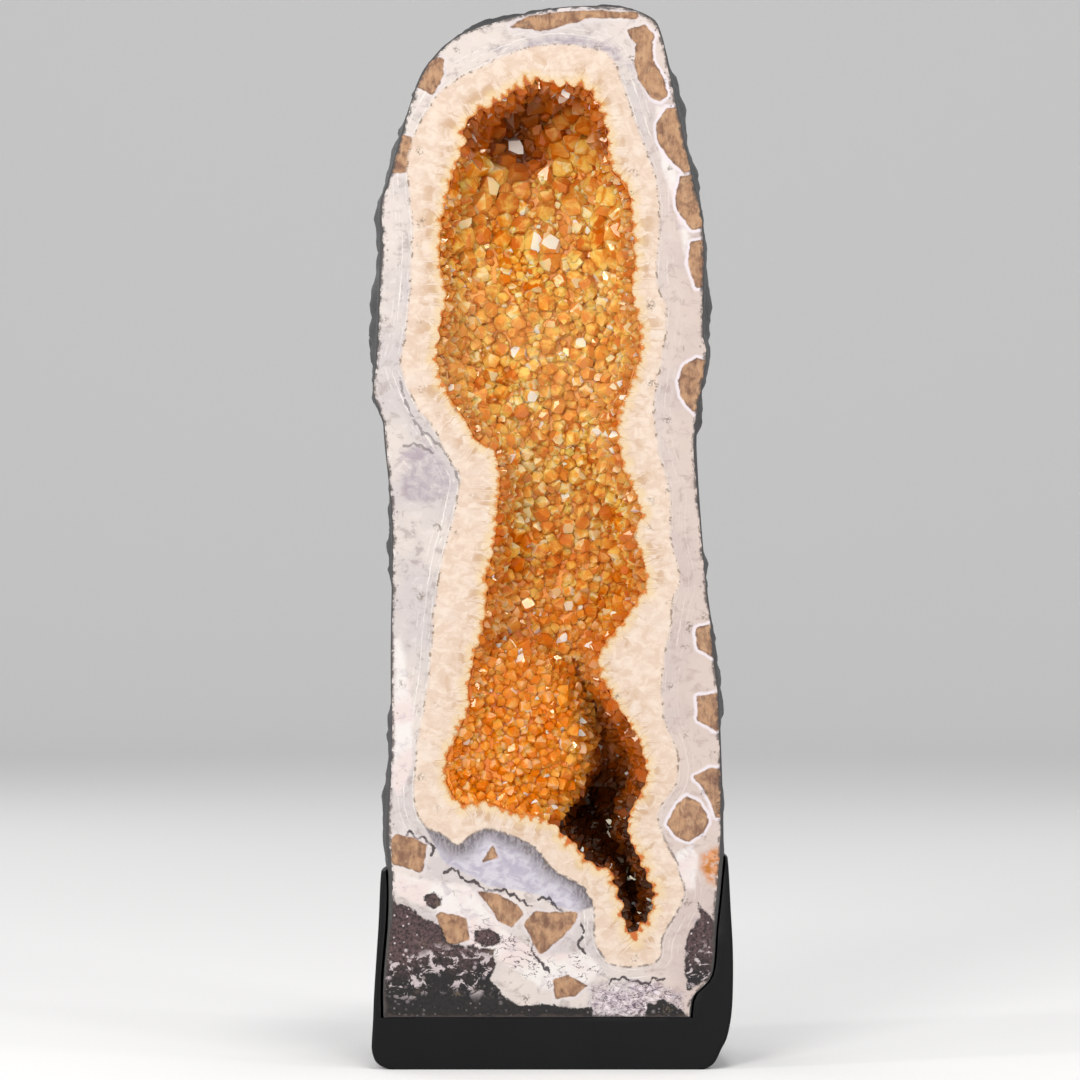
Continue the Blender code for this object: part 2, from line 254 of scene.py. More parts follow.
# %% Studio
FLOOR_HALF = 14.0
FLAT_TO, SWEEP, WALL_TOP = 2.8, 1.6, 4.5    # where the sheet turns up, its radius, its top, in metres
turns = [math.radians(a) for a in range(0, 91, 3)]
outline = [(FLAT_TO + SWEEP * math.sin(a), SWEEP * (1 - math.cos(a))) for a in turns]
outline = [(-FLOOR_HALF, 0.0), *outline, (FLAT_TO + SWEEP, WALL_TOP)]
corners = [(x, y, z) for y, z in outline for x in (-FLOOR_HALF, FLOOR_HALF)]
floor_mesh = bpy.data.meshes.new("floor")
floor_mesh.from_pydata(corners, [], [(i, i + 1, i + 3, i + 2) for i in range(0, len(corners) - 2, 2)])
floor_mesh.shade_smooth()
floor = bpy.data.objects.new("floor", floor_mesh)
bpy.context.scene.collection.objects.link(floor)
floor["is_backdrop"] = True

material, graph, shader, place = finish_graph("pale studio floor")
graph.fill(shader, {"Base Color": tone(248, 247, 245), "Specular IOR Level": 0.0})
floor_mesh.materials.append(material)

world = bpy.data.worlds.new("soft pale room")
world.use_nodes = True
background = world.node_tree.nodes["Background"]
Graph(world.node_tree).fill(background, {"Color": tone(236, 237, 240), "Strength": 0.58})
bpy.context.scene.world = world
bpy.context.scene.view_settings.view_transform = "Standard"

# Panels: name, place, width, power in watts
PANELS = (
    ("key", (-0.75, -1.9, 0.95), 0.5, 15),
    ("side_left", (-1.6, -0.75, 0.75), 0.2, 6),
    ("side_right", (1.6, -0.9, 0.5), 0.2, 5),
    ("top", (0.1, -0.5, 1.5), 0.2, 4),
    ("spark_left", (-1.1, -1.1, 0.2), 0.24, 2.8),
    ("spark_right", (0.95, -1.3, 1.25), 0.24, 3.0),
    ("spark_low", (0.45, -1.7, 0.12), 0.24, 2.4),
    ("spark_top", (-0.35, -1.5, 1.5), 0.24, 2.4),
    ("back_left", (-1.3, 1.4, 1.0), 1.0, 6),
    ("back_right", (1.4, 1.2, 0.8), 1.0, 4),
)
AIM = Vector((0, 0, 0.24))
for name, spot, width, power in PANELS:
    light = bpy.data.lights.new(name, "AREA")
    light.size = width
    light.energy = power
    panel = bpy.data.objects.new(name, light)
    panel.location = spot
    panel.rotation_euler = (AIM - Vector(spot)).to_track_quat("-Z", "Y").to_euler()
    bpy.context.scene.collection.objects.link(panel)
print(len(PANELS), "soft panels")

# %% [markdown]
# ## The stone's main lines
#
# Two outlines rule the stone: its outer edge and the edge of the hollow. Both are short lists of
# points, in millimetres across and up, with a smooth curve through them. A third outline is where the
# cream quartz ends and the agate begins. The measured solids were made from the first two, so the
# dressed stone keeps their size.

# %% Outlines
STONE_EDGE_MM = (
    (-71.5, 22), (-71.5, 38), (-69.5, 64), (-69.5, 84), (-70.5, 100), (-68.5, 136), (-68.5, 178),
    (-68, 230), (-71, 264), (-72, 275), (-76, 286), (-75, 299), (-74, 317), (-73, 347), (-73, 366),
    (-69.5, 377), (-63, 400), (-58.5, 414), (-54, 424), (-44, 435), (-31.5, 441.5), (-12, 447), (6, 450),
    (28, 450), (41, 446), (46, 439), (51, 417), (59.5, 378), (63.5, 361), (64.5, 345), (64, 313),
    (65.5, 302), (61.5, 274), (61.5, 254), (65, 208), (69.5, 174), (71.5, 135), (72.5, 97), (71.5, 80),
    (69.5, 60), (67.5, 40), (60, 31), (58.5, 22),
)
HOLLOW_EDGE_MM = (
    (-35.5, 402), (-38, 392), (-42.5, 379), (-47.5, 356), (-47.5, 339), (-45.5, 326), (-49.5, 304),
    (-46, 289), (-37, 275), (-32, 266), (-24.5, 261), (-22.5, 248), (-26, 217), (-28.5, 208), (-28, 198),
    (-35.5, 164), (-36, 153), (-45.5, 131), (-44.5, 120), (-38.5, 112), (-28, 113), (-16, 108), (-2.5, 105),
    (5, 97.5), (19, 86), (25, 83), (27, 74), (30, 62), (34, 56), (39, 62), (43, 72), (40, 84), (33.5, 97),
    (32.5, 107), (38.5, 119), (40, 128), (36, 141), (27, 155), (21, 166), (20, 176), (28, 187), (39, 203),
    (39, 214), (35, 227), (38, 236), (30, 256), (28, 276), (38, 305), (34, 330), (35, 343), (32.5, 372),
    (25, 382), (22.5, 401), (14, 417), (3, 417), (-8, 419), (-20, 413),
)
QUARTZ_EDGE_MM = (
    (-29, 425), (-14, 431.5), (3, 434.5), (18, 432.5), (25, 428), (31.5, 412.5), (36.5, 397), (41, 385),
    (45, 370), (44.5, 334), (48.5, 320), (43.5, 285), (44, 266), (49.5, 245), (49.5, 226.5), (53.5, 207),
    (51, 195.5), (46.5, 165), (47, 148), (52.5, 134), (52.5, 121.5), (44.5, 107.5), (49, 95), (54, 84.5),
    (56, 73.5), (47.5, 57), (45.5, 47), (38, 43.5), (28, 43.5), (20.5, 48.5), (17.5, 57), (17.5, 69),
    (12.5, 77.5), (2, 84), (-5, 91), (-11, 96), (-25.5, 102), (-34, 99.5), (-40, 95), (-46.5, 99.5),
    (-54.5, 103.5), (-58.5, 114), (-57, 137), (-52.5, 165), (-51, 182), (-47.5, 211.5), (-39.5, 245.5),
    (-41.5, 256), (-50.5, 271.5), (-58, 282), (-64, 298.5), (-62, 312), (-59.5, 340.5), (-59.5, 359.5),
    (-61, 386.5), (-52, 408.5), (-42.5, 418),
)
STONE_SPINE_MM = ((-2, 22), (-2, 140), (-6, 250), (2, 405))
HOLLOW_SPINE_MM = ((-8, 400), (-6, 310), (5, 250), (4, 180), (2, 150), (20, 120), (31, 90), (35, 66))


def smooth_path(points, closed, parts=8):
    """A dense path on a smooth curve through all the points, of any number of dimensions."""
    points = np.asarray(points, float)
    count = len(points)
    rows = np.arange(count if closed else count - 1)
    places = [(rows + k) % count if closed else np.clip(rows + k, 0, count - 1) for k in (-1, 0, 1, 2)]
    a, b, c, d = (points[i][:, None] for i in places)
    t = (np.arange(parts) / parts)[None, :, None]
    last_part = (3 * b - a - 3 * c + d) * t ** 3
    path = (2 * b + (c - a) * t + (2 * a - 5 * b + 4 * c - d) * t ** 2 + last_part) / 2
    last = points[:1] if closed else points[-1:]
    return np.vstack([path.reshape(-1, points.shape[1]), last])


def path_lengths(path):
    """How far along the path each of its points lies."""
    return np.concatenate([[0], np.cumsum(np.linalg.norm(np.diff(path, axis=0), axis=1))])


def points_at(path, marks):
    """The points that lie so far along a path."""
    lengths = path_lengths(path)
    return np.column_stack([np.interp(marks, lengths, axis) for axis in path.T])


def even_points(path, step):
    """Points about a step apart along a path, without its last point."""
    length = path_lengths(path)[-1]
    count = round(length / step)
    return points_at(path, np.arange(count) * length / count)


stone_path = smooth_path(STONE_EDGE_MM, closed=False) * MM
hollow_path = smooth_path(HOLLOW_EDGE_MM, closed=True) * MM
quartz_path = smooth_path(QUARTZ_EDGE_MM, closed=True) * MM
print("the hollow's edge is", round(path_lengths(hollow_path)[-1] / MM), "mm long")

# %% [markdown]
# ## Distances
#
# Nearly every mark on a geode keeps a distance to something: quartz columns stand square to the
# hollow's edge, agate bands run along it, stains follow the outer edge. So the only tools needed to lay
# out the face are the nearest place on a path and a test for being inside a loop. Both work on
# thousands of points at once.


# %% Nearest place, inside, signed distance
PATH_GRAIN = 0.2 * MM


def search_tree(points):
    """A tree in which the nearest of many flat points is soon found."""
    tree = KDTree(len(points))
    for i, (across, up) in enumerate(points.tolist()):
        tree.insert((across, up, 0), i)
    tree.balance()
    return tree


def look_up(tree, points):
    """For each point the number of the tree's nearest point, and how far away it is."""
    found = [tree.find((across, up, 0)) for across, up in points.tolist()]
    return [number for _, number, _ in found], np.array([distance for _, _, distance in found])


def nearest(points, path):
    """For each point the nearest place on a path, to a tenth of a millimetre, and its distance to it."""
    length = path_lengths(path)[-1]
    dense = points_at(path, np.linspace(0, length, int(length / PATH_GRAIN) + 2))
    places = dense[look_up(search_tree(dense), points)[0]]
    return places, np.linalg.norm(places - points, axis=1)


def inside(points, loop):
    """Whether each point lies inside a closed loop."""
    within = np.zeros(len(points), bool)
    for (x0, y0), (x1, y1) in zip(loop, loop[1:]):
        if y0 != y1:
            crosses = (y0 > points[:, 1]) != (y1 > points[:, 1])
            within ^= crosses & (x0 + (points[:, 1] - y0) * (x1 - x0) / (y1 - y0) > points[:, 0])
    return within


def depth_in(points, loop):
    """How deep each point lies inside a loop; less than nothing outside it."""
    _, distance = nearest(points, loop)
    return np.where(inside(points, loop), distance, -distance)


def smooth_step(low, high, value):
    t = np.clip((value - low) / (high - low), 0, 1)
    return t * t * (3 - 2 * t)


test_depth = depth_in(np.array([[0.0, 0.3]]), hollow_path)[0]
print("a test point lies", round(float(test_depth) / MM, 1), "mm inside")


# %% Helpers for rows and clouds of points
def closed(points):
    """A row of points with its first one repeated at the end."""
    return np.vstack([points, points[:1]])


def unit(vectors):
    return vectors / np.linalg.norm(vectors, axis=1)[:, None]


def inwards_of(row, reach):
    """The way into a closed row of points at each of them, judged from points this many places away."""
    along = unit(np.roll(row, -reach, axis=0) - np.roll(row, reach, axis=0))
    return np.column_stack([-along[:, 1], along[:, 0]])


def standing(flat, y):
    """Points given across and up, stood in space at y."""
    return np.column_stack([flat[:, 0], np.full(len(flat), y), flat[:, 1]])


def hex_grid(loop, spacing):
    """A triangular grid of points over a loop's box."""
    low, high = loop.min(0), loop.max(0)
    rows = np.arange(low[1], high[1], spacing * math.sqrt(3) / 2)
    columns = np.arange(low[0], high[0], spacing)
    x, z = np.meshgrid(columns, rows)
    x = x + (np.arange(len(rows)) % 2)[:, None] * spacing / 2
    return np.column_stack([x.ravel(), z.ravel()])


def noise_at(places, size, seed=0.0):
    """Soft noise from about -0.5 to 0.5 whose lumps are about one size across."""
    shift = Vector((7 * seed, 3 * seed, 5 * seed))
    return np.array([noise.noise(Vector(p) / size + shift) for p in places])


print(len(hex_grid(hollow_path, 5 * MM)), "points of a 5 mm grid cover the hollow")

# %% [markdown]
# ## The jagged edge of the hollow
#
# Where the saw crosses the free crystals, their cut ends show as a row of teeth: rounded lobes that
# stand into the hollow, with a sharp notch between each two. They are bold at the top, along the shelf
# under the mound and in the cleft at the lower right, and smaller along the straight sides. The teeth
# are drawn by walking along the edge and stepping in and out.

# %% Teeth along the hollow's edge
rng = np.random.default_rng(7)
TOOTH_WIDTH = (2.8 * MM, 7.6 * MM)
NOTCH = 2.5 * MM                        # a bold notch cuts this far out of the edge
LOBE = 2.0 * MM                         # a bold lobe stands this far into the hollow
TOOTH_SHARE = (0.1, 1.0)                # of the full notch and lobe, by chance
LOBE_ROUNDNESS = 0.9
EDGE_GRAIN_MM = 0.1
TOOTH_STEP = 0.5 * MM
EDGE_REACH = 6                          # steps to either side that give the edge its direction
PLAIN_TOOTH = 0.6                       # boldness along the straight sides
# Where the teeth are bold: middle, reach in millimetres, boldness
BOLD_TEETH_MM = (((35, 68), 30, 1.3), ((-5, 416), 38, 1.3), ((6, 98), 30, 1.1), ((-40, 395), 20, 1.2))

length = path_lengths(hollow_path)[-1]
widths = []
while sum(widths) < length:
    widths.append(rng.uniform(*TOOTH_WIDTH))
notches = np.concatenate([[0], np.cumsum(widths)]) * length / sum(widths)
lobe_heights = rng.uniform(*TOOTH_SHARE, len(widths))
notch_depths = rng.uniform(*TOOTH_SHARE, len(widths) + 1)
notch_depths[-1] = notch_depths[0]

edge_points = even_points(hollow_path, TOOTH_STEP)
walk = np.arange(len(edge_points)) * length / len(edge_points)
bold = np.full(len(edge_points), PLAIN_TOOTH)
for middle, radius, boldness in BOLD_TEETH_MM:
    away = np.linalg.norm(edge_points - np.array(middle) * MM, axis=1) / (radius * MM)
    bold = np.maximum(bold, boldness * np.exp(-away ** 2))
which = np.searchsorted(notches, walk, side="right") - 1
along = (walk - notches[which]) / (notches[which + 1] - notches[which])
lobe = np.sin(np.pi * along) ** LOBE_ROUNDNESS
offset = lobe * lobe_heights[which] * LOBE - (1 - lobe) * np.interp(walk, notches, notch_depths) * NOTCH
offset = offset * bold + rng.uniform(-EDGE_GRAIN_MM, EDGE_GRAIN_MM, len(offset)) * MM
jagged = edge_points + inwards_of(edge_points, EDGE_REACH) * offset[:, None]
jagged_loop = closed(jagged)
print(len(widths), "teeth on", len(jagged), "points")

# %% [markdown]
# ## The wall of the hollow
#
# Behind its edge the wall drops steeply and levels out towards the middle of the hollow. In the lower
# left a mound of crystals bulges forward almost to the face, and right of it the hollow is deepest. The
# formula is the one that the solids were made with, so the crust stays where the solid crust is. Only
# its edge drops a little more steeply here, to make room for the crystals.

# %% Wall of the hollow
HOLLOW_DEPTH = 33 * MM
# Places where the hollow is deeper or shallower: middle, reach each way, change of depth
DENTS_MM = (((-8, 400), (40, 24), 7), ((-6, 310), (36, 55), -6), ((26, 125), (22, 46), 16))
MOUND_MIDDLE_MM, MOUND_REACH_MM = (-22, 137), (37, 40)
MOUND_DEPTH = 11 * MM
MOUND_EDGE = 0.3
WALL_STEEPNESS, WALL_DRAFT = 3.6, 0.6
FULL_DEPTH_WIDTH = 24 * MM
NARROW_DEPTH = 0.45

hollow_spine = np.array(HOLLOW_SPINE_MM) * MM


def reach_from(places, middle_mm, reach_mm):
    """How far places lie from the middle of an oval, 1 being on its line."""
    return np.linalg.norm((places / MM - np.array(middle_mm)) / np.array(reach_mm), axis=1)


def hollow_depth(places):
    """How deep the hollow is behind places of the opening."""
    depth = np.full(len(places), HOLLOW_DEPTH)
    for middle, reach_mm, change in DENTS_MM:
        depth += change * MM * np.exp(-reach_from(places, middle, reach_mm) ** 2)
    out = reach_from(places, MOUND_MIDDLE_MM, MOUND_REACH_MM)
    mound = MOUND_DEPTH * (1 + 0.5 * out * out)
    return mound + (depth - mound) * smooth_step(1 - MOUND_EDGE / 2, 1 + MOUND_EDGE / 2, out)


def wall_points(flat):
    """Where points of the flat opening lie on the wall of the hollow."""
    rim, to_rim = nearest(flat, hollow_path)
    _, to_middle = nearest(flat, hollow_spine)
    share = to_rim / (to_rim + to_middle + 0.01 * MM)
    place = rim + (flat - rim) * (share ** WALL_DRAFT)[:, None]
    width = smooth_step(0, FULL_DEPTH_WIDTH, to_rim + to_middle)
    depth = hollow_depth(place) * (NARROW_DEPTH + (1 - NARROW_DEPTH) * width)
    back = depth * (1 - (1 - share) ** WALL_STEEPNESS)
    return standing(place, FRONT + back)


deepest = wall_points(hex_grid(hollow_path, 8 * MM))[:, 1].max() - FRONT
print("the wall reaches", round(deepest / MM, 1), "mm behind the face")


# %% Triangles over a flat outline
def triangulate(loop, points, hole=None):
    """Triangles over a loop and points inside it, as rows of point numbers, facing -Y."""
    flat = np.vstack([loop, points] if hole is None else [loop, hole, points])
    rings = [list(range(len(loop)))]
    if hole is not None:
        rings.append(list(range(len(loop), len(loop) + len(hole))))
    corners, _, faces, sources, _, _ = delaunay_2d_cdt([Vector(p) for p in flat], [], rings, 1, 1e-9)
    assert len(corners) == len(flat), "two stretches of the outline cross"
    number = np.array([source[0] for source in sources])
    triangles = number[np.array(faces)]
    if hole is not None:
        triangles = triangles[~inside(flat[triangles].mean(1), closed(hole))]
    a, b, c = (flat[triangles[:, i]] for i in range(3))
    turn = (b[:, 0] - a[:, 0]) * (c[:, 1] - a[:, 1]) - (b[:, 1] - a[:, 1]) * (c[:, 0] - a[:, 0])
    triangles[turn < 0] = triangles[turn < 0][:, ::-1]
    return flat, triangles


square = np.array([[0.0, 0.0], [1.0, 0.0], [1.0, 1.0], [0.0, 1.0]])
_, test_triangles = triangulate(square, square[:1] + 0.5)
print("a square and its middle give", len(test_triangles), "triangles")

# %% [markdown]
# ## The rough outside
#
# The outside of the stone is a lump of altered basalt: swelling, knobbly, and narrowing towards the
# back. It is a loft whose rings follow the stone's edge and shrink towards a line up its middle. Broad
# lumps carry the same formula as the solids, and finer knobs and pits are added here. The last ring is
# a narrow loop up the middle of the back, and a grid of its own grain closes it.

# %% Lumps and crags
SEAT = 22 * MM
TOP = 450 * MM
STONE_DEPTH_LOW, STONE_DEPTH_HIGH = 111 * MM, 76 * MM
BACK_SQUARENESS = 2.4
FLARE, FLARE_FROM, FLARE_FULL_AT = 1.6 * MM, 0.012, 0.16
LUMP, LUMP_SPACING = 5.5 * MM, 44 * MM
KNOB, KNOB_SPACING = 2.4 * MM, 17 * MM
CALM_BELOW, LUMPY_ABOVE = 62 * MM, 135 * MM
EDGE_STEP = 1.9 * MM
BACK_TURNS = 50                         # rings between the face and the back
FIRST_RING, NEXT_RING = 0.004, 0.03     # shares of the depth
BACK_INSET = 0.4 * EDGE_STEP            # the grid of the back keeps this far off its edge
BACK_BLEND = 1 * MM                     # how softly it takes its depth from that edge
stone_spine = np.array(STONE_SPINE_MM) * MM


def calm(heights):
    """Little relief inside the foot's collar, all of it above."""
    return 0.12 + 0.88 * smooth_step(CALM_BELOW, LUMPY_ABOVE, heights)


def lumps(places):
    """Height of the large lumps and knobs, as on the solids."""
    large = noise_at(places, LUMP_SPACING)
    small = noise_at(places, KNOB_SPACING, seed=1)
    return (LUMP * large + KNOB * small) * calm(places[:, 2])


def crags(places):
    """Height of the fine knobs and pits of the rough skin."""
    knobs = 1.3 * noise_at(places, 7.5 * MM, seed=2) + 0.9 * noise_at(places, 3.4 * MM, seed=3)
    pits = np.minimum(noise_at(places, 5.2 * MM, seed=4) + 0.18, 0) * 3.2
    return (knobs + pits) * MM * calm(places[:, 2])


crest = standing(stone_path[::60], 0.0)
print("lumps along the edge, in mm", np.round(lumps(crest) / MM, 1))


# %% Rings of the outside
def depth_shares(turns):
    """Shares of the depth at even turns from the face round to the back, without both ends."""
    return np.sin(np.linspace(0, math.pi / 2, turns + 1)[1:-1]) ** (2 / BACK_SQUARENESS)


def stone_ring(edge, share, grow=0.0, fine=True):
    """The ring of the outside at a share of the stone's depth."""
    middle, half = nearest(edge, stone_spine)
    outwards = (edge - middle) / half[:, None]
    width = (1 - share ** BACK_SQUARENESS) ** 0.5
    swell = smooth_step(FLARE_FROM, FLARE_FULL_AT, share)
    flat = middle + (edge - middle) * width + outwards * (FLARE * swell * width + grow)
    height_share = (edge[:, 1] - SEAT) / (TOP - SEAT)
    depth = STONE_DEPTH_LOW + (STONE_DEPTH_HIGH - STONE_DEPTH_LOW) * height_share
    places = standing(flat, FRONT + share * depth)
    push = unit(standing(outwards * width, share))
    relief = lumps(places) + (crags(places) if fine else 0)
    places += push * (relief * swell + grow * share)[:, None]
    sawn = edge[:, 1] < SEAT + 0.1 * MM
    places[sawn, 2] = SEAT - grow
    return places


def stone_edge(step):
    """The stone's edge from its bottom left corner over the top, and back along the sawn underside."""
    edge = even_points(stone_path, step)
    edge[0, 1] = SEAT
    corner = stone_path[-1]
    count = round(np.linalg.norm(corner - edge[0]) / step)
    underside = corner + (edge[0] - corner) * (np.arange(count) / count)[:, None]
    underside[:, 1] = SEAT
    return np.vstack([edge, underside])


edge = stone_edge(EDGE_STEP)
shares = [FIRST_RING, FLARE_FROM] + [share for share in depth_shares(BACK_TURNS) if share > NEXT_RING]
back_rings = [stone_ring(edge, share) for share in shares]
back_edge = back_rings[-1][:, [0, 2]]
back_grid = hex_grid(closed(back_edge), EDGE_STEP)
back_grid = back_grid[depth_in(back_grid, closed(back_edge)) > BACK_INSET]
apart = np.linalg.norm(back_grid[:, None] - back_edge[None], axis=2)
weight = 1 / (apart ** 2 + BACK_BLEND ** 2) ** 2
back_fill = standing(back_grid, weight @ back_rings[-1][:, 1] / weight.sum(1))
print(len(back_rings), "rings of", len(edge), "points")

# %% [markdown]
# ## The polished face
#
# The face is truly flat, so its picture is all colour. The mesh under it is a fine grid, and every
# corner of the grid stores measures in millimetres: how far it is from the hollow's jagged edge, from
# the end of the quartz, from the outer edge, and how deep it lies in each kind of inclusion. The
# material turns those measures into bands, columns, crystals and stains.
#
# Inclusions are drawn as a mineral collector would sketch them: a few corners each.

# %% Inclusions of the face, in millimetres across and up
CALCITES_MM = (
    ((-18, 441.5), (-11.5, 445.5), (3, 447.5), (20, 448.5), (37, 447), (35.5, 445), (16, 445.5),
     (-5, 439.5)),
    ((35.5, 433.5), (39.5, 436.5), (42.5, 434), (42.5, 427.5), (47, 419.5), (48.5, 412.5), (45.5, 410),
     (41.5, 411.5), (37, 419), (34.5, 426.5)),
    ((32, 440), (39, 442), (43.5, 437.5), (41.5, 434), (34.5, 435)),
    ((48.5, 407), (56, 407), (60, 393.5), (61, 382), (56, 379.5), (49, 386), (44.5, 393.5), (44.5, 400)),
    ((54, 378), (60.5, 379), (66, 366), (66, 357), (59, 355.5), (53, 364.5), (52.5, 370)),
    ((58.5, 350), (67, 352), (68, 342), (67, 331), (60.5, 331), (57.5, 342)),
    ((55.5, 298.5), (61, 301.5), (68, 300), (67, 287), (60.5, 278), (54.5, 285), (53.5, 292)),
    ((61, 187), (68, 189), (71, 179.5), (70, 174), (61.5, 178)),
    ((61, 158), (71, 160), (73, 147), (70, 143), (61.5, 148)),
    ((60, 124), (67.5, 127.5), (77, 126), (77, 108), (69.5, 107), (66.5, 114), (64, 120)),
    ((-61, 418), (-51, 429), (-45.5, 428), (-46.5, 420), (-51, 413)),
    ((-72, 379), (-66, 396), (-58.5, 394.5), (-57.5, 387), (-61.5, 380)),
    ((-68, 97), (-66, 99.5), (-59, 98.5), (-53, 95), (-55, 83), (-61.5, 85.5), (-68, 87.5)),
    ((-30.5, 87.5), (-25, 95), (-22.5, 89.5)),
    ((-49.5, 65), (-47, 67), (-36.5, 64), (-35.5, 55), (-44, 52.5), (-46.5, 57)),
    ((-32, 75.5), (-23.5, 74.5), (-14.5, 69.5), (-12, 66), (-17, 60), (-22.5, 62.5), (-26.5, 69)),
    ((-12.5, 62), (-7, 67), (-1, 66.5), (10.5, 66.5), (9, 62), (4, 56), (-5, 49), (-8.5, 55.5)),
    ((0, 38.5), (6.5, 40), (15, 35.5), (9.5, 31), (1.5, 30)),
    ((48, 104), (52.5, 111.5), (56.5, 115.5), (62.5, 113), (66, 105.5), (64, 100.5), (57.5, 96.5),
     (52.5, 98)),
)
BASALT_MM = (
    ((-76, 72.5), (-67, 70.5), (-60.5, 69), (-54.5, 64), (-47.5, 62.5), (-45, 54.5), (-42, 52.5),
     (-24.5, 51), (-24.5, 45.5), (-26.5, 37.5), (-21.5, 31.5), (-15.5, 27.5), (-2, 27), (16, 26),
     (20, 18), (-76, 18)),
    ((-53.5, 73.5), (-50, 75.5), (-46.5, 73), (-46.5, 69), (-50, 67.5), (-53, 69.5)),
    ((-32, 58), (-28, 60), (-23, 57), (-22, 53.5), (-27, 52), (-32, 54)),
    ((61.5, 72), (67, 65), (72, 52), (72, 38), (63, 36.5), (57, 33.5), (56.5, 42), (56, 51),
     (57.5, 58), (62, 64)),
    ((40, 27.5), (47, 29), (56, 24.5), (59, 20), (40, 20)),
)
BLUE_LENS_MM = (
    ((-56, 106), (-47, 104), (-40, 100), (-34, 104), (-25, 107), (-10, 101), (-3, 95), (5, 88),
     (16, 80), (21, 70), (10.5, 66.5), (1, 69.5), (-5, 73.5), (-14.5, 75.5), (-27.5, 77.5),
     (-34, 81.5), (-40, 84.5), (-46.5, 88)),
)
WHITE_QUARTZ_MM = (
    ((-67.5, 182), (-64.5, 183.5), (-61.5, 171), (-59.5, 156.5), (-58.5, 137.5), (-60.5, 124.5),
     (-65.5, 114), (-68, 122.5), (-67, 156.5)),
    ((-67, 84), (-52, 80), (-35, 78), (-22, 61), (-5, 48), (14, 50), (22, 42), (14, 36), (-5, 33.5),
     (-22, 46.5), (-35, 52.5), (-47.5, 65.5), (-60.5, 72), (-68, 76)),
    ((44, 408), (47.5, 408), (53, 380), (58, 352), (56, 345), (52, 366), (46, 383)),
    ((52, 92), (60, 96), (62, 88), (60, 76), (54, 78)),
)
ORANGE_STAIN_MM = (((63, 92), (67.5, 94.5), (74, 93), (74.5, 84.5), (70, 78.5), (66, 80), (62.5, 85.5)),)
LILAC_MM = (
    ((14.5, 36), (28.5, 38), (45.5, 36.5), (56, 32), (56, 20), (16, 20)),
    ((-64.5, 262.5), (-54, 266.5), (-45.5, 259), (-41, 245.5), (-52, 239), (-62.5, 241), (-65.5, 251.5)),
    ((-29, 431), (0, 438), (24, 437), (40, 421), (30, 424), (2, 434), (-16, 430)),
    ((59, 66), (63, 64), (64.5, 57), (62, 52), (60.5, 58)),
)
SEAMS_MM = (
    ((-46, 83.5), (-41, 84.5), (-36.5, 79.5), (-33, 80), (-30, 76.5), (-20.5, 75.5), (-14.5, 72),
     (-8, 68)),
    ((-6, 72), (-2.5, 72.5), (1, 69.5), (5, 66.5)),
    ((-64.5, 99.5), (-58, 99.5), (-52.5, 97), (-50, 93), (-52, 90.5)),
    ((-6, 56), (-9, 50), (-4, 45), (-1, 40)),
    ((12, 62), (13.5, 57), (11, 53), (14, 49)),
    ((24, 37), (30, 38.5), (40, 37), (48, 39)),
    ((-64.5, 293), (-61.5, 281), (-55, 270), (-47.5, 264), (-41.5, 254), (-38.5, 246)),
    ((-63, 263), (-57, 265), (-50, 261)),
)


def deepest_in(points, loops_mm):
    """How deep points lie in the nearest of several outlines, in millimetres."""
    loops = [np.array(loop + loop[:1]) * MM for loop in loops_mm]
    return np.max([depth_in(points, loop) for loop in loops], axis=0) / MM


print(len(CALCITES_MM), "calcites are drawn")

# %% Grid of the face and its measures
FACE_GRID = 1.25 * MM
FACE_CHAMFER = 0.35 * MM
FACE_SEAT_GAP = 0.5 * MM                # between the face and the sawn underside
# Where more of the painted side shows beside the face: side, height, reach up and down, width
SIDE_SHOWS_MM = (
    (-1, 355, 26, 0.6), (-1, 82, 30, 1.1), (1, 85, 34, 1.1), (1, 175, 14, 0.8), (1, 262, 20, 0.8),
)
CHIP, CHIP_SPACING = 1.1 * MM, 2.6 * MM
SEAM_STEP, SEAM_CLEAR = 0.7 * MM, 0.6 * MM
SEAM_WANDER_MM, SEAM_WANDER_SPACING = 2.6, 2.4 * MM

middle, half = nearest(edge, stone_spine)
inset = np.full(len(edge), FACE_CHAMFER)
for side, height, tall, width in SIDE_SHOWS_MM:
    near = np.exp(-((edge[:, 1] / MM - height) / tall) ** 2) * (np.sign(edge[:, 0]) == side)
    inset += near * width * MM
inset += np.abs(noise_at(standing(edge, 0.0), CHIP_SPACING, seed=5)) * CHIP
face_edge = edge + (middle - edge) / half[:, None] * inset[:, None]
face_edge[:, 1] = np.maximum(face_edge[:, 1], SEAT + FACE_SEAT_GAP)
face_loop = closed(face_edge)

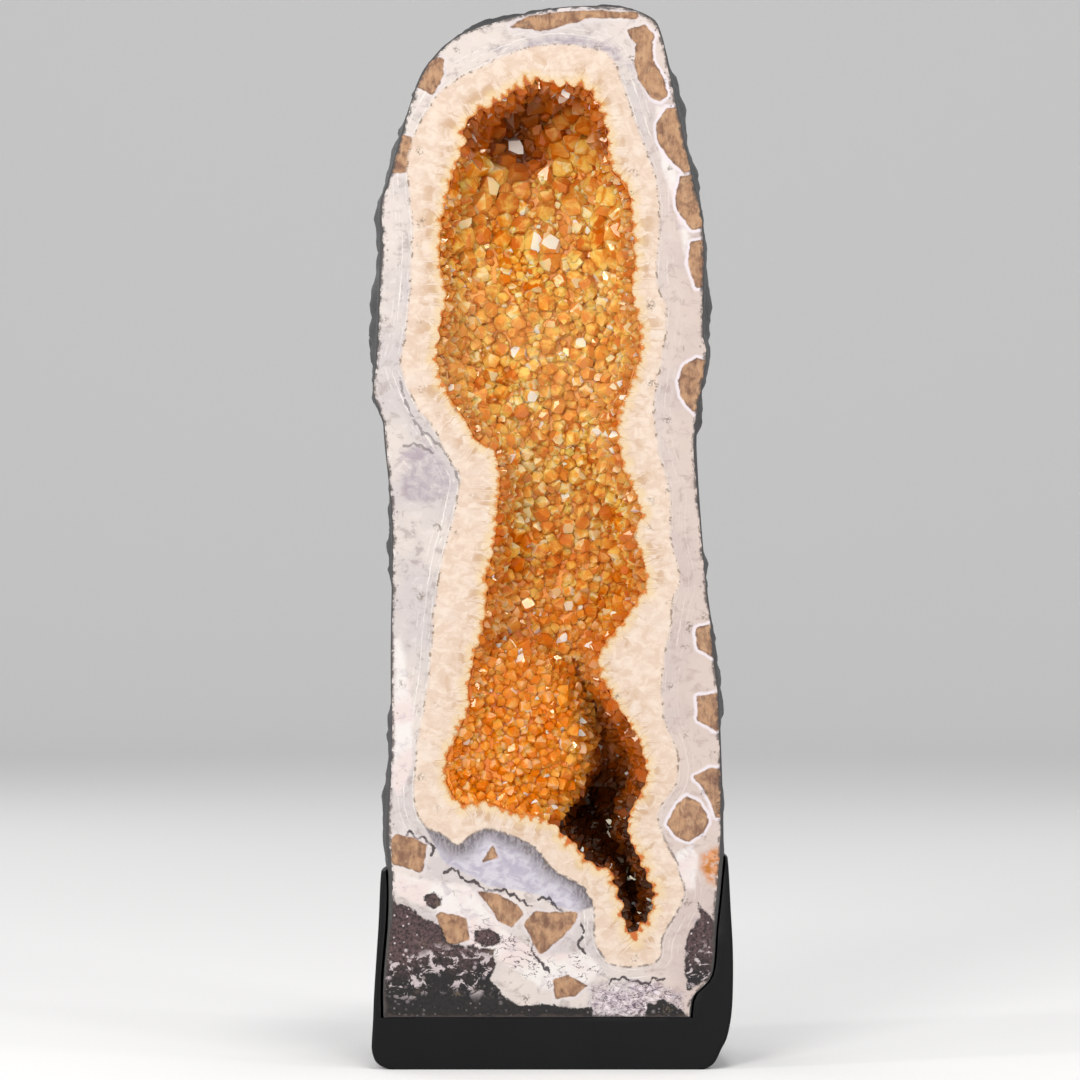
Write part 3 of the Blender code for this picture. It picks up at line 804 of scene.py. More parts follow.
seam_lines = [smooth_path(line, closed=False, parts=6) * MM for line in SEAMS_MM]
seam_points = np.vstack([even_points(line, SEAM_STEP) for line in seam_lines])
wander = noise_at(standing(seam_points, 0.0), SEAM_WANDER_SPACING, seed=9)
seam_points[:, 1] += wander * SEAM_WANDER_MM * MM
seam_tree = search_tree(seam_points)
grid = hex_grid(face_loop, FACE_GRID)
grid = np.vstack([grid[look_up(seam_tree, grid)[1] > SEAM_CLEAR], seam_points])
keep = (depth_in(grid, face_loop) > 0.6 * FACE_GRID) & (depth_in(grid, jagged_loop) < -0.5 * FACE_GRID)
face_flat, face_triangles = triangulate(face_edge, grid[keep], hole=jagged)
rim_place, rim_distance = nearest(face_flat, jagged_loop)
rim = standing(rim_place, rim_distance) / MM
measures = {
    "quartz": depth_in(face_flat, quartz_path) / MM,
    "edge": nearest(face_flat, face_loop)[1] / MM,
    "calcite": deepest_in(face_flat, CALCITES_MM),
    "basalt": deepest_in(face_flat, BASALT_MM),
    "blue": deepest_in(face_flat, BLUE_LENS_MM),
    "white": deepest_in(face_flat, WHITE_QUARTZ_MM),
    "orange": deepest_in(face_flat, ORANGE_STAIN_MM),
    "lilac": deepest_in(face_flat, LILAC_MM),
    "seam": look_up(seam_tree, face_flat)[1] / MM,
}
print(len(face_flat), "corners and", len(face_triangles), "triangles on the face")

# %% [markdown]
# ## One closed stone
#
# The face, the rough outside and the wall of the hollow share their corner points, so together they are
# one closed skin, as on a real block of stone. Each kind of surface has its own material slot.


# %% Objects, stored measures, rings of faces
def add_object(name, mesh):
    thing = bpy.data.objects.new(name, mesh)
    bpy.context.scene.collection.objects.link(thing)
    return thing


def mesh_object(name, places, faces, slots, materials):
    """An object from points, a list of face arrays, and the material slot of each array."""
    mesh = bpy.data.meshes.new(name)
    mesh.from_pydata(places.tolist(), [], [face for rows in faces for face in rows.tolist()])
    mesh.polygons.foreach_set("material_index", np.repeat(slots, [len(rows) for rows in faces]))
    for material in materials:
        mesh.materials.append(material)
    return add_object(name, mesh)


def store(mesh, name, values, kind="FLOAT"):
    """Store a measure on the mesh's first corners; the others get nothing."""
    attribute = mesh.attributes.new(name, kind, "POINT")
    width = 3 if kind == "FLOAT_VECTOR" else 1
    filled = np.zeros((len(mesh.vertices), width), np.float32)
    filled[:len(values)] = np.asarray(values).reshape(-1, width)
    attribute.data.foreach_set("vector" if width == 3 else "value", filled.ravel())


def ring_faces(near, far):
    """Four-sided faces between two closed rows of point numbers."""
    return np.column_stack([near, np.roll(near, -1), np.roll(far, -1), far])


print("two rows of three points give", len(ring_faces(np.arange(3), np.arange(3, 6))), "faces")

# %% Assembling the stone
WALL_GRID, WALL_CLEAR = 3 * MM, 1.2 * MM
wall_grid = hex_grid(hollow_path, WALL_GRID)
wall_grid = wall_grid[depth_in(wall_grid, jagged_loop) > WALL_CLEAR]
_, wall_triangles = triangulate(jagged, wall_grid)
_, back_triangles = triangulate(back_edge, back_grid)

# Points are numbered group by group: the face, the rings, the wall, the back. The wall's and the
# back's own triangles count the edge that they start from first.
groups = [standing(face_flat, FRONT), *back_rings, wall_points(wall_grid), back_fill]
starts = np.cumsum([0] + [len(group) for group in groups])
count = len(edge)
rows = [start + np.arange(count) for start in starts[:-3]]
wall_number = np.concatenate([count + np.arange(len(jagged)), starts[-3] + np.arange(len(wall_grid))])
back_number = np.concatenate([rows[-1], starts[-2] + np.arange(len(back_grid))])
sides = np.vstack([ring_faces(near, far) for near, far in zip(rows, rows[1:])])
faces = [face_triangles, sides, back_number[back_triangles[:, ::-1]], wall_number[wall_triangles]]
stone_places = np.vstack(groups)
stone = mesh_object("polished_stone", stone_places, faces, [0, 1, 1, 2], [])
for name, values in measures.items():
    store(stone.data, name, values)
store(stone.data, "rim", rim, "FLOAT_VECTOR")
smooth = np.repeat([False, True, True, True], [len(part) for part in faces])
stone.data.polygons.foreach_set("use_smooth", smooth)
triangles = len(stone.data.loops) - 2 * len(stone.data.polygons)
print("stone", len(stone.data.vertices), "points,", triangles, "triangles")

# %% [markdown]
# ## Finish of the polished face
#
# From the hollow outwards the face shows: thin amber tips, a cream band of quartz columns that stand
# square to the edge, a thin brown dotted line, and pearly agate with faint bands. Calcite crystals that
# the agate has grown round are tan, often with a white skin. The lower corners are dark speckled
# basalt. Each is a layer: a mask from a stored measure, roughened with noise, and a colour.


# %% Noises and measures of the face
def speckle(graph, place, size, share):
    """Sparse round specks: how near each place is to one, from 0 to 1."""
    cells = graph.node("ShaderNodeTexVoronoi", {"feature": "F1"}, {"Vector": place, "Scale": 1 / size})
    chance = graph.node("ShaderNodeSeparateColor", None, {"Color": cells.output("Color")}, "Red")
    return cells.step(0.34, 0.10) * chance.step(1 - share - 0.02, 1 - share + 0.02)


stone_face, graph, shader, place = finish_graph("banded quartz and agate")
cloud = graph.noise(place, 14, 4)
ripple = graph.noise(place, 3.2, 3)
grain = graph.noise(place, 0.9, 3)
crumble = graph.noise(graph.scaled(place, (1, 1, 1.3)), 6, 5, 0.68, 0.6)
warp = (cloud - 0.5) * 6 + (ripple - 0.5) * 3.6 + (grain - 0.5) * 1.6
across, _, height = graph.parts(place)
low_part = height.step(108, 92)
rim_vector = graph.measure("rim", "Vector")
_, rim_distance, _ = graph.parts(rim_vector)
quartz = graph.measure("quartz")
beyond = warp * 0.3 - quartz            # millimetres outside the quartz
# Columns are noise that varies along the edge and hardly across it
columns = graph.noise(graph.scaled(rim_vector, (0.42, 0.05, 0.42)), 1, 3)
fine_columns = graph.noise(graph.scaled(rim_vector, (1.7, 0.10, 1.7)), 1, 3)
print(len(graph.tree.nodes), "nodes of noises and measures")

# %% Agate: pearly, mottled, lined with white beside the quartz, tan at the right
layers = graph.noise(graph.vector(beyond * 0.8, cloud * 2.0), 1, 2)
lined = beyond.step(10, 4) * cloud.step(0.36, 0.48)
colour = graph.paint(
    graph.mix(graph.noise(place, 34, 2).step(0.38, 0.62), (242, 235, 229), (224, 219, 219)),
    (crumble.step(0.50, 0.68) * 0.75, (188, 178, 176)),
    (crumble.step(0.44, 0.30) * 0.6, (250, 247, 244)),
    (layers.step(0.53, 0.60) * lined, (255, 254, 250)),
    (layers.step(0.46, 0.36) * lined * 0.35, (205, 197, 192)),
    (across.step(28, 58) * 0.45, (218, 194, 182)),
)
print(len(graph.tree.nodes), "nodes with the agate")

# %% White quartz and the blue lens, which is misty towards the quartz
lilac = (graph.measure("lilac") + warp * 0.9).step(-1.5, 3.0)
white = (graph.measure("white") + warp * 0.7).step(-1.2, 1.4)
white_colour = graph.paint(
    graph.mix(cloud.step(0.42, 0.62), (255, 254, 252), (250, 238, 236)),
    (crumble.step(0.52, 0.70) * 0.7, (206, 196, 206)),
)
blue = (graph.measure("blue") + warp * 0.3).step(-0.4, 0.8)
fringe = graph.noise(graph.scaled(place, (1.0, 1.0, 0.45)), 1.5, 5, 0.7)
mist = (beyond + (columns - 0.5) * 5 + (fringe - 0.5) * 7).step(9.0, 0.5)
blue_colour = graph.paint(
    graph.mix(crumble.step(0.40, 0.62), (226, 226, 239), (196, 194, 212)),
    (mist * 0.9, graph.mix(fringe.step(0.44, 0.56), (160, 156, 162), (98, 91, 94))),
)
colour = graph.paint(
    colour,
    (lilac * crumble.step(0.30, 0.62) * 0.75, (186, 177, 190)),
    (white, white_colour),
    (blue, blue_colour),
)
print(len(graph.tree.nodes), "nodes with the white quartz and the lens")

# %% Dark seams, the druse at the lower right, fine veins and the orange stain
seam = (graph.measure("seam") + (ripple - 0.5) * 1.5 + (grain - 0.5) * 1.2).step(0.75, 0.25)
druse = graph.noise(graph.scaled(place, (1, 1, 1.4)), 2.4, 5, 0.72, 0.8)
in_druse = lilac * height.step(60, 50) * across.step(0, 10)
vein = abs(graph.noise(graph.scaled(place, (1, 1, 1.7)), 9, 4, 0.6, 0.5) - 0.5).step(0.016, 0.005)
vein = vein * height.step(70, 56) * graph.math("MAXIMUM", lilac, white)
orange = (graph.measure("orange") + warp * 0.9).step(-1.8, 2.4)
colour = graph.paint(
    colour,
    (seam * (0.92 - height.step(110, 200) * 0.4), (58, 46, 52)),
    (in_druse * druse.step(0.52, 0.60), (255, 246, 254)),
    (in_druse * druse.step(0.47, 0.40) * 0.85, (112, 84, 108)),
    (vein * 0.85, (70, 56, 64)),
    (orange * ripple.step(0.30, 0.52), graph.mix(crumble.step(0.4, 0.6), (206, 128, 40), (240, 176, 130))),
)
print(len(graph.tree.nodes), "nodes with the seams and stains")

# %% Calcite: tan and streaky, with a white skin that is plainest at the right
calcite_depth = graph.measure("calcite") + (cloud - 0.5) * 2.4 + (ripple - 0.5) * 1.6 + (grain - 0.5) * 0.5
calcite = calcite_depth.step(-0.5, 0.15)
skin = calcite_depth.step(-2.0, -1.0) * (0.3 + 0.65 * across.step(36, 46))
streaks = graph.noise(graph.scaled(place, (0.55, 1, 0.2)), 1.2, 5, 0.66, 0.4)
calcite_colour = graph.paint(
    graph.mix(graph.noise(place, 5.5, 4, 0.62, 0.5).step(0.34, 0.62), (146, 107, 84), (202, 160, 122)),
    (streaks.step(0.48, 0.66) * 0.5, (224, 190, 150)),
    (streaks.step(0.46, 0.34) * 0.55, (112, 84, 64)),
    (calcite_depth.step(1.0, 0.0) * ripple.step(0.42, 0.6) * 0.55, (88, 66, 56)),
)
colour = graph.paint(colour, (skin, (252, 247, 254)), (calcite, calcite_colour))
print(len(graph.tree.nodes), "nodes with the calcite")

# %% Basalt: dark, darkest at the foot, with pale crumbs
basalt_depth = graph.measure("basalt") + warp * 0.9
basalt = basalt_depth.step(-0.5, 0.4)
pepper = graph.noise(place, 1.3, 5, 0.75)
darker = (height + (cloud - 0.5) * 16 + (ripple - 0.5) * 8).step(50, 38)
crumbs = graph.math("MAXIMUM", speckle(graph, place, 1.9, 0.34), speckle(graph, place, 3.6, 0.3))
crumbs = crumbs * (cloud + (ripple - 0.5) * 0.7).step(0.39, 0.51) * (1.0 - darker * 0.75)
white_crust = abs(height - 42 + (cloud - 0.5) * 26).step(12, 3) * crumble.step(0.53, 0.58)
border = basalt_depth.step(-0.9, 0.0) * basalt_depth.step(1.4, 0.4)
basalt_colour = graph.paint(
    graph.mix(pepper.step(0.36, 0.62), (32, 22, 25), (106, 82, 83)),
    (crumble.step(0.56, 0.70) * 0.4, (140, 118, 118)),
    (darker * 0.95, graph.mix(pepper.step(0.4, 0.62), (4, 3, 3), (28, 24, 24))),
    (graph.math("MAXIMUM", crumbs, white_crust * 0.9), (226, 216, 220)),
    (border * ripple.step(0.44, 0.52) * 0.8, (30, 26, 26)),
)
colour = graph.paint(colour, (basalt, basalt_colour))
print(len(graph.tree.nodes), "nodes with the basalt")

# %% Quartz columns over everything that lies inside their band
quartz_depth = quartz - warp * 0.3 + (columns - 0.5) * 3.0
inside_quartz = graph.mix(low_part, quartz_depth.step(-0.9, 0.9), quartz_depth.step(-0.3, 0.3))
glow = (rim_distance + (columns - 0.5) * 7 + (ripple - 0.5) * 2).step(5.0, 0.2)
amber_reach = 1.3 + (fine_columns - 0.5) * 6 + (cloud - 0.5) * 4
amber = (rim_distance / graph.math("MAXIMUM", amber_reach, 0.3)).step(1.0, 0.0)
cream = graph.paint(
    graph.mix(crumble.step(0.36, 0.62), (255, 241, 225), (240, 218, 198)),
    (columns.step(0.54, 0.70) * 0.35, (252, 244, 234)),
    (fine_columns.step(0.50, 0.62) * rim_distance.step(13, 2) * 0.7, (208, 166, 118)),
    (glow * 0.8, (250, 226, 178)),
    (amber, graph.mix(grain.step(0.35, 0.65), (206, 126, 34), (236, 166, 72))),
)
colour = graph.paint(colour, (inside_quartz, cream))
print(len(graph.tree.nodes), "nodes with the quartz")

# %% Brown line where the quartz ends, specks, chipped edge, and the finish
line = abs(quartz_depth + (grain - 0.5) * 1.6).step(0.75, 0.15)
dotted = graph.noise(place, 2.6, 3).step(0.52, 0.60) * (1.0 - low_part) + ripple.step(0.36, 0.56) * low_part
shift = graph.scaled(graph.vector(ripple, grain, cloud), (5, 5, 9))
specks = speckle(graph, graph.vector_math("ADD", place, shift), 7.5, 0.2)
to_edge = graph.measure("edge")
chipped = (to_edge + (ripple - 0.5) * 2.6 + (grain - 0.5) * 1.4).step(1.3, 0.2) * crumble.step(0.40, 0.52)
pits = speckle(graph, place, 2.1, 0.38) * to_edge.step(4.0, 0.8) * cloud.step(0.42, 0.55)
dark_marks = graph.math("MAXIMUM", chipped, pits)
colour = graph.paint(
    colour,
    (line * dotted * 0.7, graph.mix(low_part, (128, 104, 74), (104, 92, 92))),
    (specks * grain.step(0.42, 0.6) * 0.75, (118, 104, 86)),
    (dark_marks * 0.85, graph.mix(grain, (40, 34, 34), (104, 92, 86))),
)
FACE_SHADE = (0.65, 0.61, 0.59)         # polished stone swallows part of the light
roughness = 0.17 + calcite * 0.14 + basalt * 0.28 + (dark_marks + specks * 0.4) * 0.3 + (ripple - 0.5) * 0.05
relief = dark_marks * -1.0 + specks * -0.4 + basalt * (grain - 0.5) * 0.6 + calcite * (streaks - 0.5) * 0.2
graph.fill(shader, {"Base Color": graph.scaled(colour, FACE_SHADE), "Roughness": roughness, "IOR": 1.54,
                    "Specular IOR Level": 0.3, "Normal": graph.bump(0.5, 0.3, relief)})
print(len(graph.tree.nodes), "nodes in the polished face")

# %% [markdown]
# ## Paint on the rough outside
#
# The back and sides are sealed with dark grey paint, which hides the crumbly skin. It is thin on the
# knobs, where dust and wear lighten it, and the pits are darkened with painted shade.

# %% Painted skin
stone_skin, graph, shader, place = finish_graph("dark painted skin")
skin_grain = graph.noise(place, 1.1, 4, 0.65)
surface_pointiness = graph.node("ShaderNodeNewGeometry", None, None, "Pointiness")
knobs = surface_pointiness.step(0.50, 0.56)
colour = graph.paint(
    graph.mix(graph.noise(place, 22, 4), (26, 26, 28), (42, 41, 43)),
    (knobs * (0.3 + 0.5 * skin_grain), (88, 84, 82)),
    # painted shade: the pits are darkened
    (surface_pointiness.step(0.50, 0.44) * 0.7, (15, 15, 16)),
)
graph.fill(shader, {"Base Color": colour, "Roughness": 0.5 + (skin_grain - 0.5) * 0.3 + knobs * 0.12,
                    "Normal": graph.bump(0.8, 0.8, skin_grain)})
print(len(graph.tree.nodes), "nodes in the painted skin")

# %% [markdown]
# ## Milky crust
#
# The crystals stand on a crust of milky quartz that glows through them. It follows the wall one and a
# half millimetres above it, and its rim stays a little behind the face, so that the crystals have room.
# Its front also stores where they are large or small and what colour they have: a dark smoky brown in the
# top, in the deep cleft and on the steep walls near the rim, which is partly the crystals' own colour and
# partly painted shade, orange on the mound, paler and creamier in the upper middle.

# %% Crust
CRUST, CRUST_BACK = 1.5 * MM, 0.4 * MM  # its front and its back, above the wall
CRUST_GRID = 2.3 * MM
CRUST_BUMP_MM, CRUST_BUMP_SPACING = 1.6, 5 * MM
BEHIND_FACE = 1.9 * MM
RIM_LIFT = 0.8 * MM


def corner_normals(places, triangles):
    """The mean direction of the faces around each point."""
    a, b, c = (places[triangles[:, i]] for i in range(3))
    cross = np.cross(b - a, c - a)
    normals = np.zeros_like(places)
    for i in range(3):
        np.add.at(normals, triangles[:, i], cross)
    return unit(normals)


def crust_layer(lift, bumps):
    """The wall lifted off by a distance; its rim stays a little behind the face."""
    layer = crust_wall + crust_normals * (lift + bumps)[:, None]
    rim_count = len(crust_rim)
    layer[:rim_count, [0, 2]] = crust_rim + inwards_of(crust_rim, 1) * min(lift, RIM_LIFT)
    layer[:rim_count, 1] = FRONT + BEHIND_FACE
    layer[:, 1] = np.maximum(layer[:, 1], FRONT + BEHIND_FACE)
    return layer


crust_rim = even_points(hollow_path, CRUST_GRID)
grid = hex_grid(hollow_path, CRUST_GRID)
grid = grid[depth_in(grid, hollow_path) > 0.7 * CRUST_GRID]
crust_flat, crust_triangles = triangulate(crust_rim, grid)
crust_wall = wall_points(crust_flat)
crust_wall[:len(crust_rim), 1] = FRONT
crust_normals = corner_normals(crust_wall, crust_triangles)
crust_bumps = noise_at(crust_wall, CRUST_BUMP_SPACING, seed=6) * CRUST_BUMP_MM * MM
front_layer = crust_layer(CRUST, crust_bumps)
back_layer = crust_layer(CRUST_BACK, np.zeros(len(crust_wall)))
print(len(crust_flat), "points on each side of the crust")

# %% Regions of the hollow
# Where a region begins and where it is full, as heights in millimetres
TOP_SMOKE_AND_SHADE, CLEFT_SMOKE_AND_SHADE, CLEFT_DARK, SHADED_WALL = (380, 394), (168, 144), (142, 104), (120, 170)
WARM, LARGE, SMALL = (250, 170), (318, 362), (196, 166)
CREAM_MIDDLE, CREAM_REACH = 300, 70
PATCH, PATCH_SHIFT = 26 * MM, 14        # spots that blur the regions, and how far they move them
rim_places, to_rim = nearest(crust_flat, hollow_path)
up = crust_flat[:, 1] / MM
from_mound = reach_from(crust_flat, MOUND_MIDDLE_MM, MOUND_REACH_MM)
lit_strip = smooth_step(7.5 * MM, 3 * MM, to_rim) * (rim_places[:, 0] > crust_flat[:, 0])
patchy = noise_at(front_layer, PATCH, seed=8)
blurred_up = up + PATCH_SHIFT * patchy
# Painted shade: the crystals are darkened in the top recess, in the deep cleft and on the steep walls near
# the rim; the cleft's darkening is eased on the lit strip.
top_recess = smooth_step(*TOP_SMOKE_AND_SHADE, blurred_up) * (0.68 + 0.4 * patchy)
deep_recess = (0.64 + 0.4 * smooth_step(*CLEFT_DARK, up)) * smooth_step(*CLEFT_SMOKE_AND_SHADE, blurred_up)
deep_recess *= smooth_step(0.94, 1.04, from_mound) * (1 - 0.18 * lit_strip)
painted_wall_shade = smooth_step(8 * MM, 2 * MM, to_rim) * smooth_step(*SHADED_WALL, up) * 0.34
on_mound = smooth_step(1.15, 0.85, from_mound)
tints = {
    "smoke": np.clip(np.maximum(top_recess, painted_wall_shade) + deep_recess, 0, 1),
    "warmth": np.clip(smooth_step(*WARM, up) * 0.7 + on_mound * 0.5 + patchy * 0.4, 0, 1),
    "cream": np.clip(np.exp(-((up - CREAM_MIDDLE) / CREAM_REACH) ** 2) * 0.7 + patchy * 1.1, 0, 1),
}
by_rim = smooth_step(7.5 * MM, 4 * MM, to_rim)
zones = {
    "zone_large": smooth_step(*LARGE, up) * (1 - by_rim),
    "zone_middle": smooth_step(*LARGE[::-1], up) * smooth_step(*SMALL[::-1], up) * (1 - by_rim),
    "zone_small": np.maximum(smooth_step(*SMALL, up), by_rim),
    "zone_all": np.ones(len(up)),
}
print("mean tints", {name: round(float(values.mean()), 2) for name, values in tints.items()})


# %% Colour of the crust
def crust_tint(graph, base):
    """Tint a colour by the region of the hollow, with painted shade in its recesses."""
    smoke = graph.measure("smoke")
    return graph.paint(
        base,
        (graph.measure("cream") * 0.3, (252, 214, 140)),
        (graph.measure("warmth") * 0.55, (228, 120, 4)),
        # smoke and shade: a dark smoky brown, partly the crystals' own colour and partly painted shade of
        # the recesses
        (smoke.step(0.0, 0.6) * 0.85, (176, 76, 4)),
        (smoke.step(0.6, 1.0) * 0.96, (38, 9, 1)),
    )


milky, graph, shader, place = finish_graph("milky quartz crust")
blotch = graph.noise(place, 5, 4)
colour = crust_tint(graph, graph.mix(blotch.step(0.38, 0.64), (206, 118, 20), (240, 164, 62)))
graph.fill(shader, {"Base Color": colour, "Roughness": 0.42 + (blotch - 0.5) * 0.2})
print(len(graph.tree.nodes), "nodes in the crust's colour")

# %% The crust's mesh, and the stone's last material
total = len(crust_flat)
rim_numbers = np.arange(len(crust_rim))
closing = ring_faces(rim_numbers, rim_numbers + total)[:, ::-1]
faces = [crust_triangles, crust_triangles[:, ::-1] + total, closing]
crust = mesh_object("milky_crust", np.vstack([front_layer, back_layer]), faces, [0, 0, 0], [milky])
for name, values in tints.items():
    store(crust.data, name, np.tile(values, 2))
crust.data.shade_smooth()
for material in (stone_face, stone_skin, milky):
    stone.data.materials.append(material)
stone_up = stone_places[:, 2] / MM
# painted shade: the hidden wall is darker towards the top and towards the bottom, like the crust's recesses
stone_smoke_and_shade = 0.42 + 0.3 * smooth_step(375, 400, stone_up) + 0.25 * smooth_step(110, 80, stone_up)
store(stone.data, "smoke", stone_smoke_and_shade)
print("crust", len(crust.data.polygons), "faces")

# %% [markdown]
# ## Quartz tips
#
# A quartz crystal is a six-sided prism closed by six sloping faces. Three of them are usually larger,
# so the tip is seldom regular. Each variant is cut from a prism by six planes at quartz's own slope,
# moved by a little chance. Forty triangles are plenty for what is repeated thousands of times.

# %% Variants of a crystal
TIP_VARIANTS = 7
FACE_SLOPE = math.radians(51.8)         # between a tip face's normal and the crystal's axis
ROOT = -1.7                             # the prism's foot, in radii below the crust's surface
PRISM = 4                               # its length before the cuts
TIP_HEIGHT = (1.15, 1.45)
LARGE_FACE_LAG, SMALL_FACE_LAG = (0, 0.12), (0.08, 0.42)
tip_shapes = bpy.data.collections.new("tip shapes")
rng = np.random.default_rng(21)


def cut_off(bm, point, normal):
    """Cut away what lies on the normal's side of a plane and close the cut."""
    everything = bm.verts[:] + bm.edges[:] + bm.faces[:]
    cut = bmesh.ops.bisect_plane(bm, geom=everything, plane_co=point, plane_no=normal, clear_outer=True)
    edges = [item for item in cut["geom_cut"] if isinstance(item, bmesh.types.BMEdge)]
    bmesh.ops.holes_fill(bm, edges=[edge for edge in edges if edge.is_boundary])


def quartz_tip(name):
    bm = bmesh.new()
    placed = Matrix.Translation((0, 0, ROOT + PRISM / 2))
    bmesh.ops.create_cone(bm, segments=6, radius1=1, radius2=1, depth=PRISM, cap_ends=True, matrix=placed)
    height = rng.uniform(*TIP_HEIGHT)
    for i in range(6):
        turn = math.radians(60 * i + 30)
        normal = Vector((math.sin(FACE_SLOPE) * math.cos(turn), math.sin(FACE_SLOPE) * math.sin(turn),
                         math.cos(FACE_SLOPE)))
        lag = rng.uniform(*(LARGE_FACE_LAG if i % 2 else SMALL_FACE_LAG))
        cut_off(bm, Vector((0, 0, height + lag)), normal)
    facet = bm.faces.layers.float.new("facet")
    for face in bm.faces:
        face[facet] = rng.random()
    bmesh.ops.triangulate(bm, faces=bm.faces[:])
    bmesh.ops.recalc_face_normals(bm, faces=bm.faces[:])
    top = max(vert.co.z for vert in bm.verts)
    mesh = bpy.data.meshes.new(name)
    bm.to_mesh(mesh)
    bm.free()
    store(mesh, "rise", [max(vert.co.z, 0) / top for vert in mesh.vertices])
    tip_shapes.objects.link(bpy.data.objects.new(name, mesh))
    return len(mesh.polygons)


print("faces of each variant", [quartz_tip(f"tip_{i}") for i in range(TIP_VARIANTS)])

# %% [markdown]
# ## Citrine
#
# Citrine is clear quartz coloured by iron. The tips let some light through, swallow its blue on the
# way, and scatter the rest in a milky amber body. Single facets are frosted, and a few are painted
# near-white as glints, so each facet and each crystal brings a chance number of its own to the colour.

# %% Citrine
citrine, graph, shader, place = finish_graph("citrine")
veil = graph.noise(place, 6.5, 4, 0.62, 0.6)
rise = graph.measure("rise")
own = graph.measure("own")
facet = graph.measure("facet")
milk = (rise * 0.2 + own * 0.3 + facet * 0.3 + (veil - 0.5) * 2.6 + 0.36).step(0.5, 1.15)
frosted = (facet + own * 0.4 + rise * 0.3 + (veil - 0.5) * 1.2).step(1.16, 1.32)
colour = graph.paint(
    graph.mix((facet * 0.5 + own * 0.5).step(0.2, 0.8), (214, 106, 2), (246, 152, 22)),
    # painted shade: darker towards the foot of each crystal, where the crystals crowd together
    (rise.step(0.45, 0.0) * 0.35, (190, 92, 6)),
    (milk, (250, 204, 96)),
    (frosted * 0.8, (255, 236, 190)),
)
# painted highlight: a few facets are painted near-white as glints
painted_glint = (facet + own * 0.7).step(1.50, 1.60)
colour = graph.paint(crust_tint(graph, colour), (painted_glint * 0.85, (255, 248, 236)))
graph.fill(shader, {
    "Base Color": colour, "Roughness": 0.05 + milk * 0.1, "IOR": 1.54, "Transmission Weight": 0.22,
    "Specular IOR Level": 0.3, "Specular Tint": (1.0, 0.91, 0.70, 1.0),
    "Subsurface Weight": 0.42, "Subsurface Radius": (1.0, 0.45, 0.12), "Subsurface Scale": 2 * MM,
})
absorb = graph.node("ShaderNodeVolumeAbsorption", None, {"Color": (1.0, 0.70, 0.28, 1.0), "Density": 40.0})
graph.fill(graph.tree.nodes["Material Output"], {"Volume": absorb})
print(len(graph.tree.nodes), "nodes in the citrine")

# %% [markdown]
# ## Growing the crystals
#
# Geometry Nodes scatter the crystals over the crust. Poisson sampling keeps neighbours apart, as real
# crystals crowd each other out. Large ones grow in the top of the hollow, smaller ones in its middle and
# smaller still below and along the rim, and fillers close the gaps everywhere. Each leans a little off
# the wall's normal. What would stand out of the face is pressed flush with it, because the saw and the
# polishing wheel took it away.

# %% One layer of crystals
# Layers: zone, spacing in millimetres, fullness (width over spacing), lean in degrees, first seed
CRYSTAL_LAYERS = (
    ("zone_large", 6.3, 1.62, 26, 10),
    ("zone_middle", 4.4, 1.62, 29, 20),
    ("zone_small", 3.7, 1.62, 30, 30),
    ("zone_all", 3.1, 1.4, 34, 40),
)
CROWDING = 5                            # crystals that try for each square of the spacing
SIZE_RANGE = (0.65, 1.2)
FLUSH = 0.25 * MM                       # nothing stands nearer to the plane of the face
TIP_REACH, SIDE_REACH = 1.5, 0.45       # how far a tip and a flank reach, in radii
SMALLEST = 0.5 * MM
LIMIT = FRONT + FLUSH


